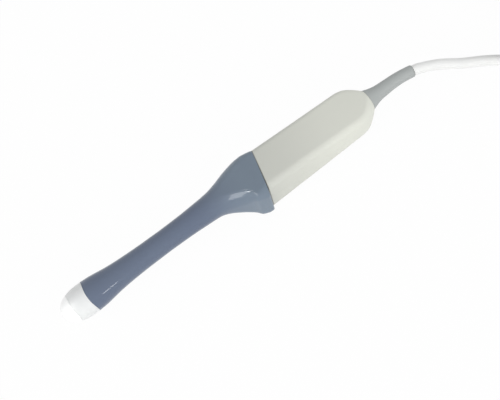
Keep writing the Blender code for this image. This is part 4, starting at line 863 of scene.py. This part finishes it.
handleSettings = {
    "halfWidth": 17.2, "depth": 30.6, "taper": 0.118, "corner": 5.0,
    "length": 96.8, "dome": 18.8, "rearRadius": 8.2,
    # how the rounded rear closes in width and in depth: place along it, share closed
    "wideForm": ((0, 0), (0.18, 0.03), (0.36, 0.11), (0.52, 0.26),
                 (0.67, 0.46), (0.81, 0.67), (0.93, 0.88), (1, 1)),
    "deepForm": ((0, 0), (0.30, 0.02), (0.52, 0.09), (0.70, 0.24),
                 (0.83, 0.46), (0.92, 0.70), (0.98, 0.90), (1, 1)),
    "front": -0.05, "straightSteps": 20, "domeSteps": 30, "arc": 12, "seam": 0.03, "seamEdge": 0.12,
}


def handleSection(x, slope, s=handleSettings):
    start = -(s["length"] - s["dome"])
    place = max(0.0, (start - x) / s["dome"])
    inward = readCurve(s["wideForm"], place)[0]
    down = readCurve(s["deepForm"], place)[0]
    wide = mix(s["halfWidth"], s["rearRadius"], inward)
    deep = mix(s["depth"] + s["taper"] * min(0.0, x), 2 * s["rearRadius"], down)
    corner = mix(s["corner"], s["rearRadius"], inward)
    return -wide, wide, deep, corner, corner, x - slope * wide, x + slope * wide


def makeHandle(s):
    piece = startMesh("handle")
    lean = math.tan(math.radians(shaftSettings["slant"]))
    start = -(s["length"] - s["dome"])
    for k in range(s["straightSteps"]):
        share = k / s["straightSteps"]
        x = mix(s["front"], start, share)
        addSection(*(v * mm for v in handleSection(x, lean * max(0.0, 1 - 2 * share))), s["arc"])
    for k in range(s["domeSteps"] + 1):
        share = math.sin(math.pi / 2 * k / s["domeSteps"])
        addSection(*(v * mm for v in handleSection(start - s["dome"] * share, 0.0)), s["arc"])
    skinSections()
    capEnds()
    bpy.ops.object.mode_set(mode="OBJECT")
    halves = (("upperHandle", "upper_handle_shell", True), ("lowerHandle", "lower_handle_shell", False))
    for name, node, isUpper in halves:
        pick(piece)
        bpy.ops.object.duplicate()
        half = named(bpy.context.object, name)
        bpy.ops.object.mode_set(mode="EDIT")
        bpy.ops.mesh.select_all(action="SELECT")
        level = s["seam"] * mm * (1 if isUpper else -1)
        bpy.ops.mesh.bisect(
            plane_co=(0, 0, level), plane_no=(0, 0, 1), use_fill=True,
            clear_inner=isUpper, clear_outer=not isUpper,
        )
        bpy.ops.object.mode_set(mode="OBJECT")
        softenEdges(half, s["seamEdge"] * mm, 1, 50)
        shadeSmooth(half, 40)
        layDown(half)
        half.data.materials.append(looks["handleIvory"])
        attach(half, "probe_and_cable")
        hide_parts(node)
    bpy.data.objects.remove(piece)


sealSettings = {"front": 0.48, "rear": -0.03, "inset": 0.02, "wall": 2.2}


def makeSeal(s):
    piece = startMesh("rimSeal")
    lean = math.tan(math.radians(shaftSettings["slant"]))
    wide = handleSettings["halfWidth"] - s["inset"]
    corner = handleSettings["corner"] - s["inset"]
    depth = handleSettings["depth"] - 2 * s["inset"]
    for x in (s["front"], s["rear"]):
        size = (-wide, wide, depth, corner, corner, x - lean * wide, x + lean * wide)
        addSection(*(v * mm for v in size), handleSettings["arc"])
    skinSections()
    bpy.ops.object.mode_set(mode="OBJECT")
    giveWall(piece, s["wall"] * mm)
    shadeSmooth(piece, 40)
    layDown(piece)
    piece.data.materials.append(looks["sealDark"])
    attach(piece, "probe_and_cable")
    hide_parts("rim_seal")


makeHandle(handleSettings)
makeSeal(sealSettings)
print("handle and seal are made")


# Strain relief

def makeBoot(s):
    piece = startMesh("strainRelief")
    rear = s["handleEnd"] - s["rearGap"]
    tip = s["handleEnd"] - s["tipGap"] - s["length"]
    rings = []
    for k in range(s["steps"] + 1):
        share = s["tapered"] * k / s["steps"]
        radius = mix(s["baseRadius"], s["endRadius"], readCurve(s["form"], share)[0])
        rings.append((mix(rear, tip, share), radius))
    rings += [(mix(rear, tip, share), s["endRadius"] - inset) for share, inset in s["tipRound"]]
    rings += [(tip, s["endRadius"] - s["tipInset"]), (tip, s["bore"])]
    for x, radius in rings:
        centre, heading = cableFrame(x)
        bpy.ops.mesh.select_all(action="DESELECT")
        turn = heading.to_track_quat("Z", "Y").to_euler()
        bpy.ops.mesh.primitive_circle_add(vertices=64, radius=radius, location=centre, rotation=turn)
    bpy.ops.mesh.select_all(action="SELECT")
    bpy.ops.mesh.bridge_edge_loops()
    capEnds()
    shadeSmooth(piece, 40)
    layDown(piece)
    piece.data.materials.append(looks["bootGrey"])
    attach(piece, "probe_and_cable")
    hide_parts("strain_relief_boot")


makeBoot(bootSettings)
print("strain relief is made")


# Strap round the stored coil, hook-and-loop tape with its end lying over its start

strapSettings = {
    "width": 14.0, "thickness": 1.1, "corner": 3.2, "arc": 6, "edge": 0.25,
    # the inside face, from the coil's middle and from the floor
    "inner": 26.9, "outer": 52.4, "bottom": 1.2, "top": 33.9,
    "start": 14.0, "overlap": 1.25, "end": 31.0, "lift": 0.5, "overlapSteps": 10,
}


def strapPath(s):  # once round the turns of the coil, then over its own start
    path = [(s["outer"], s["start"])]
    corners = (
        (s["outer"], s["top"], 0), (s["inner"], s["top"], 90),
        (s["inner"], s["bottom"], 180), (s["outer"], s["bottom"], 270),
    )
    for x, z, first in corners:
        middleX = x - s["corner"] if x == s["outer"] else x + s["corner"]
        middleZ = z - s["corner"] if z == s["top"] else z + s["corner"]
        for k in range(s["arc"] + 1):
            angle = math.radians(first + 90 * k / s["arc"])
            path.append((middleX + s["corner"] * math.cos(angle), middleZ + s["corner"] * math.sin(angle)))
    low = s["bottom"] + s["corner"]
    for k in range(1, s["overlapSteps"] + 1):
        share = k / s["overlapSteps"]
        rise = min(1.0, share * (s["end"] - low) / (s["start"] - low))
        out = s["overlap"] * rise * rise * (3 - 2 * rise) + s["lift"] * max(0.0, share - 0.8) / 0.2
        path.append((s["outer"] + out, mix(low, s["end"], share)))
    return path


def makeStrap(s):
    deselectAll()
    path = strapPath(s)
    bpy.ops.mesh.primitive_plane_add(size=0.001)
    piece = named(bpy.context.object, "coilStrap")
    bpy.ops.object.mode_set(mode="EDIT")
    bpy.ops.mesh.select_all(action="SELECT")
    bpy.ops.mesh.merge(type="CENTER")
    cx, cy = cableSettings["coilCentre"]
    bpy.ops.transform.translate(value=(cx + path[0][0] * mm, cy - s["width"] / 2 * mm, path[0][1] * mm))
    for (x0, z0), (x1, z1) in zip(path, path[1:]):
        step = ((x1 - x0) * mm, 0, (z1 - z0) * mm)
        bpy.ops.mesh.extrude_vertices_move(TRANSFORM_OT_translate={"value": step})
    bpy.ops.mesh.select_all(action="SELECT")
    bpy.ops.mesh.extrude_edges_move(TRANSFORM_OT_translate={"value": (0, s["width"] * mm, 0)})
    bpy.ops.mesh.select_all(action="SELECT")
    bpy.ops.mesh.normals_make_consistent(inside=False)
    bpy.ops.object.mode_set(mode="OBJECT")
    giveWall(piece, s["thickness"] * mm)
    softenEdges(piece, s["edge"] * mm, 2, 50)
    shadeSmooth(piece, 50)
    piece.data.materials.append(looks["strapBlack"])
    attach(piece, "probe_and_cable")
    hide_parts("coil_tie")
    return piece


strap = makeStrap(strapSettings)
print("strap is made")


# Strain relief at the connector, with flexing grooves

plugBootSettings = {
    "face": 48.1, "length": 24.2, "baseRadius": 7.8, "endRadius": 4.65, "bore": 4.15,
    "collar": 3.4, "chamfer": 0.4, "step": 0.9, "stepRun": 0.3, "taperPower": 0.8,
    "grooves": 5, "grooveStart": 1.6, "groovePitch": 3.0, "grooveWidth": 1.1, "grooveDepth": 0.75,
    "grooveLean": 0.15, "endRound": 0.5, "endBevel": 0.15,
}


def plugBootRadius(x, s=plugBootSettings):  # behind the collar
    share = (x - s["face"] - s["collar"]) / (s["length"] - s["collar"])
    return mix(s["baseRadius"] - s["step"], s["endRadius"], share ** s["taperPower"])


def makePlugBoot(s):
    end = s["face"] + s["length"]
    collarEnd = s["face"] + s["collar"]
    points = [(s["face"], s["baseRadius"] - s["chamfer"]), (s["face"] + s["chamfer"], s["baseRadius"])]
    points += [(collarEnd, s["baseRadius"])]
    points += [(collarEnd + s["stepRun"], plugBootRadius(collarEnd + s["stepRun"]))]
    for k in range(s["grooves"]):
        low = collarEnd + s["grooveStart"] + k * s["groovePitch"]
        high = low + s["grooveWidth"]
        points.append((low, plugBootRadius(low)))
        points.append((low + s["grooveLean"], plugBootRadius(low) - s["grooveDepth"]))
        points.append((high - s["grooveLean"], plugBootRadius(high) - s["grooveDepth"]))
        points.append((high, plugBootRadius(high)))
    points += [(end - s["endRound"], s["endRadius"])]
    points += [(end - s["endBevel"], s["endRadius"] - s["endBevel"]), (end, s["endRadius"] - s["chamfer"])]
    points += [(end, s["bore"]), (s["face"], s["bore"])]
    points.append(points[0])
    piece = spinProfile("connectorBoot", [(x * mm, r * mm) for x, r in points], 64)
    shadeSmooth(piece, 30)
    x, y = cableSettings["connectorAt"]
    layDown(piece, Matrix.Translation((x, y, cableSettings["connectorSeam"])))
    piece.data.materials.append(looks["bootGrey"])
    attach(piece, "probe_and_cable")
    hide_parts("connector_boot")
    return piece


plugBoot = makePlugBoot(plugBootSettings)
print("connector boot is made")


# Looks for the CAD pieces that stay

keptLooks = {
    "ceramicPale": ["piezo_array", "shaft_bush"],
    "epoxyDark": ["outer_matching_layer", "backing_block"],
    "filmAmber": ["upper_flex", "lower_flex", "inner_matching_layer"],
    "boardGreen": ["upper_board", "lower_board", "interface_board"],
    "caseBlack": ["array_carrier", "chassis", "cable_clamp_upper", "cable_clamp_lower",
                  "connector_clamp_base", "connector_clamp_cap", "contact_block",
                  "connector_lower_housing"],
    "copper": ["shield_tube"],
    "steel": ["board_screw_1", "board_screw_2", "board_screw_3", "board_screw_4", "cable_clamp_screw_1",
              "cable_clamp_screw_2", "crimp_ferrule", "connector_clamp_screw_1",
              "connector_clamp_screw_2", "housing_screw_1", "housing_screw_2", "housing_screw_3",
              "housing_screw_4", "shield_frame", "lock_shaft", "lock_collar", "lock_washer",
              "knob_screw"],
    "cableWhite": ["cable_core", "coax_bundle", "connector_cable_end"],
    "handleIvory": ["upper_header", "lower_header", "connector_upper_housing"],
    "shaftBlue": ["lock_knob"],
}


def dressKept():
    for lookName, nodeNames in keptLooks.items():
        for nodeName in nodeNames:
            node = frame["nodes"][nodeName]
            for slot in node.material_slots:
                slot.material = looks[lookName]


dressKept()

print("CAD pieces are dressed")
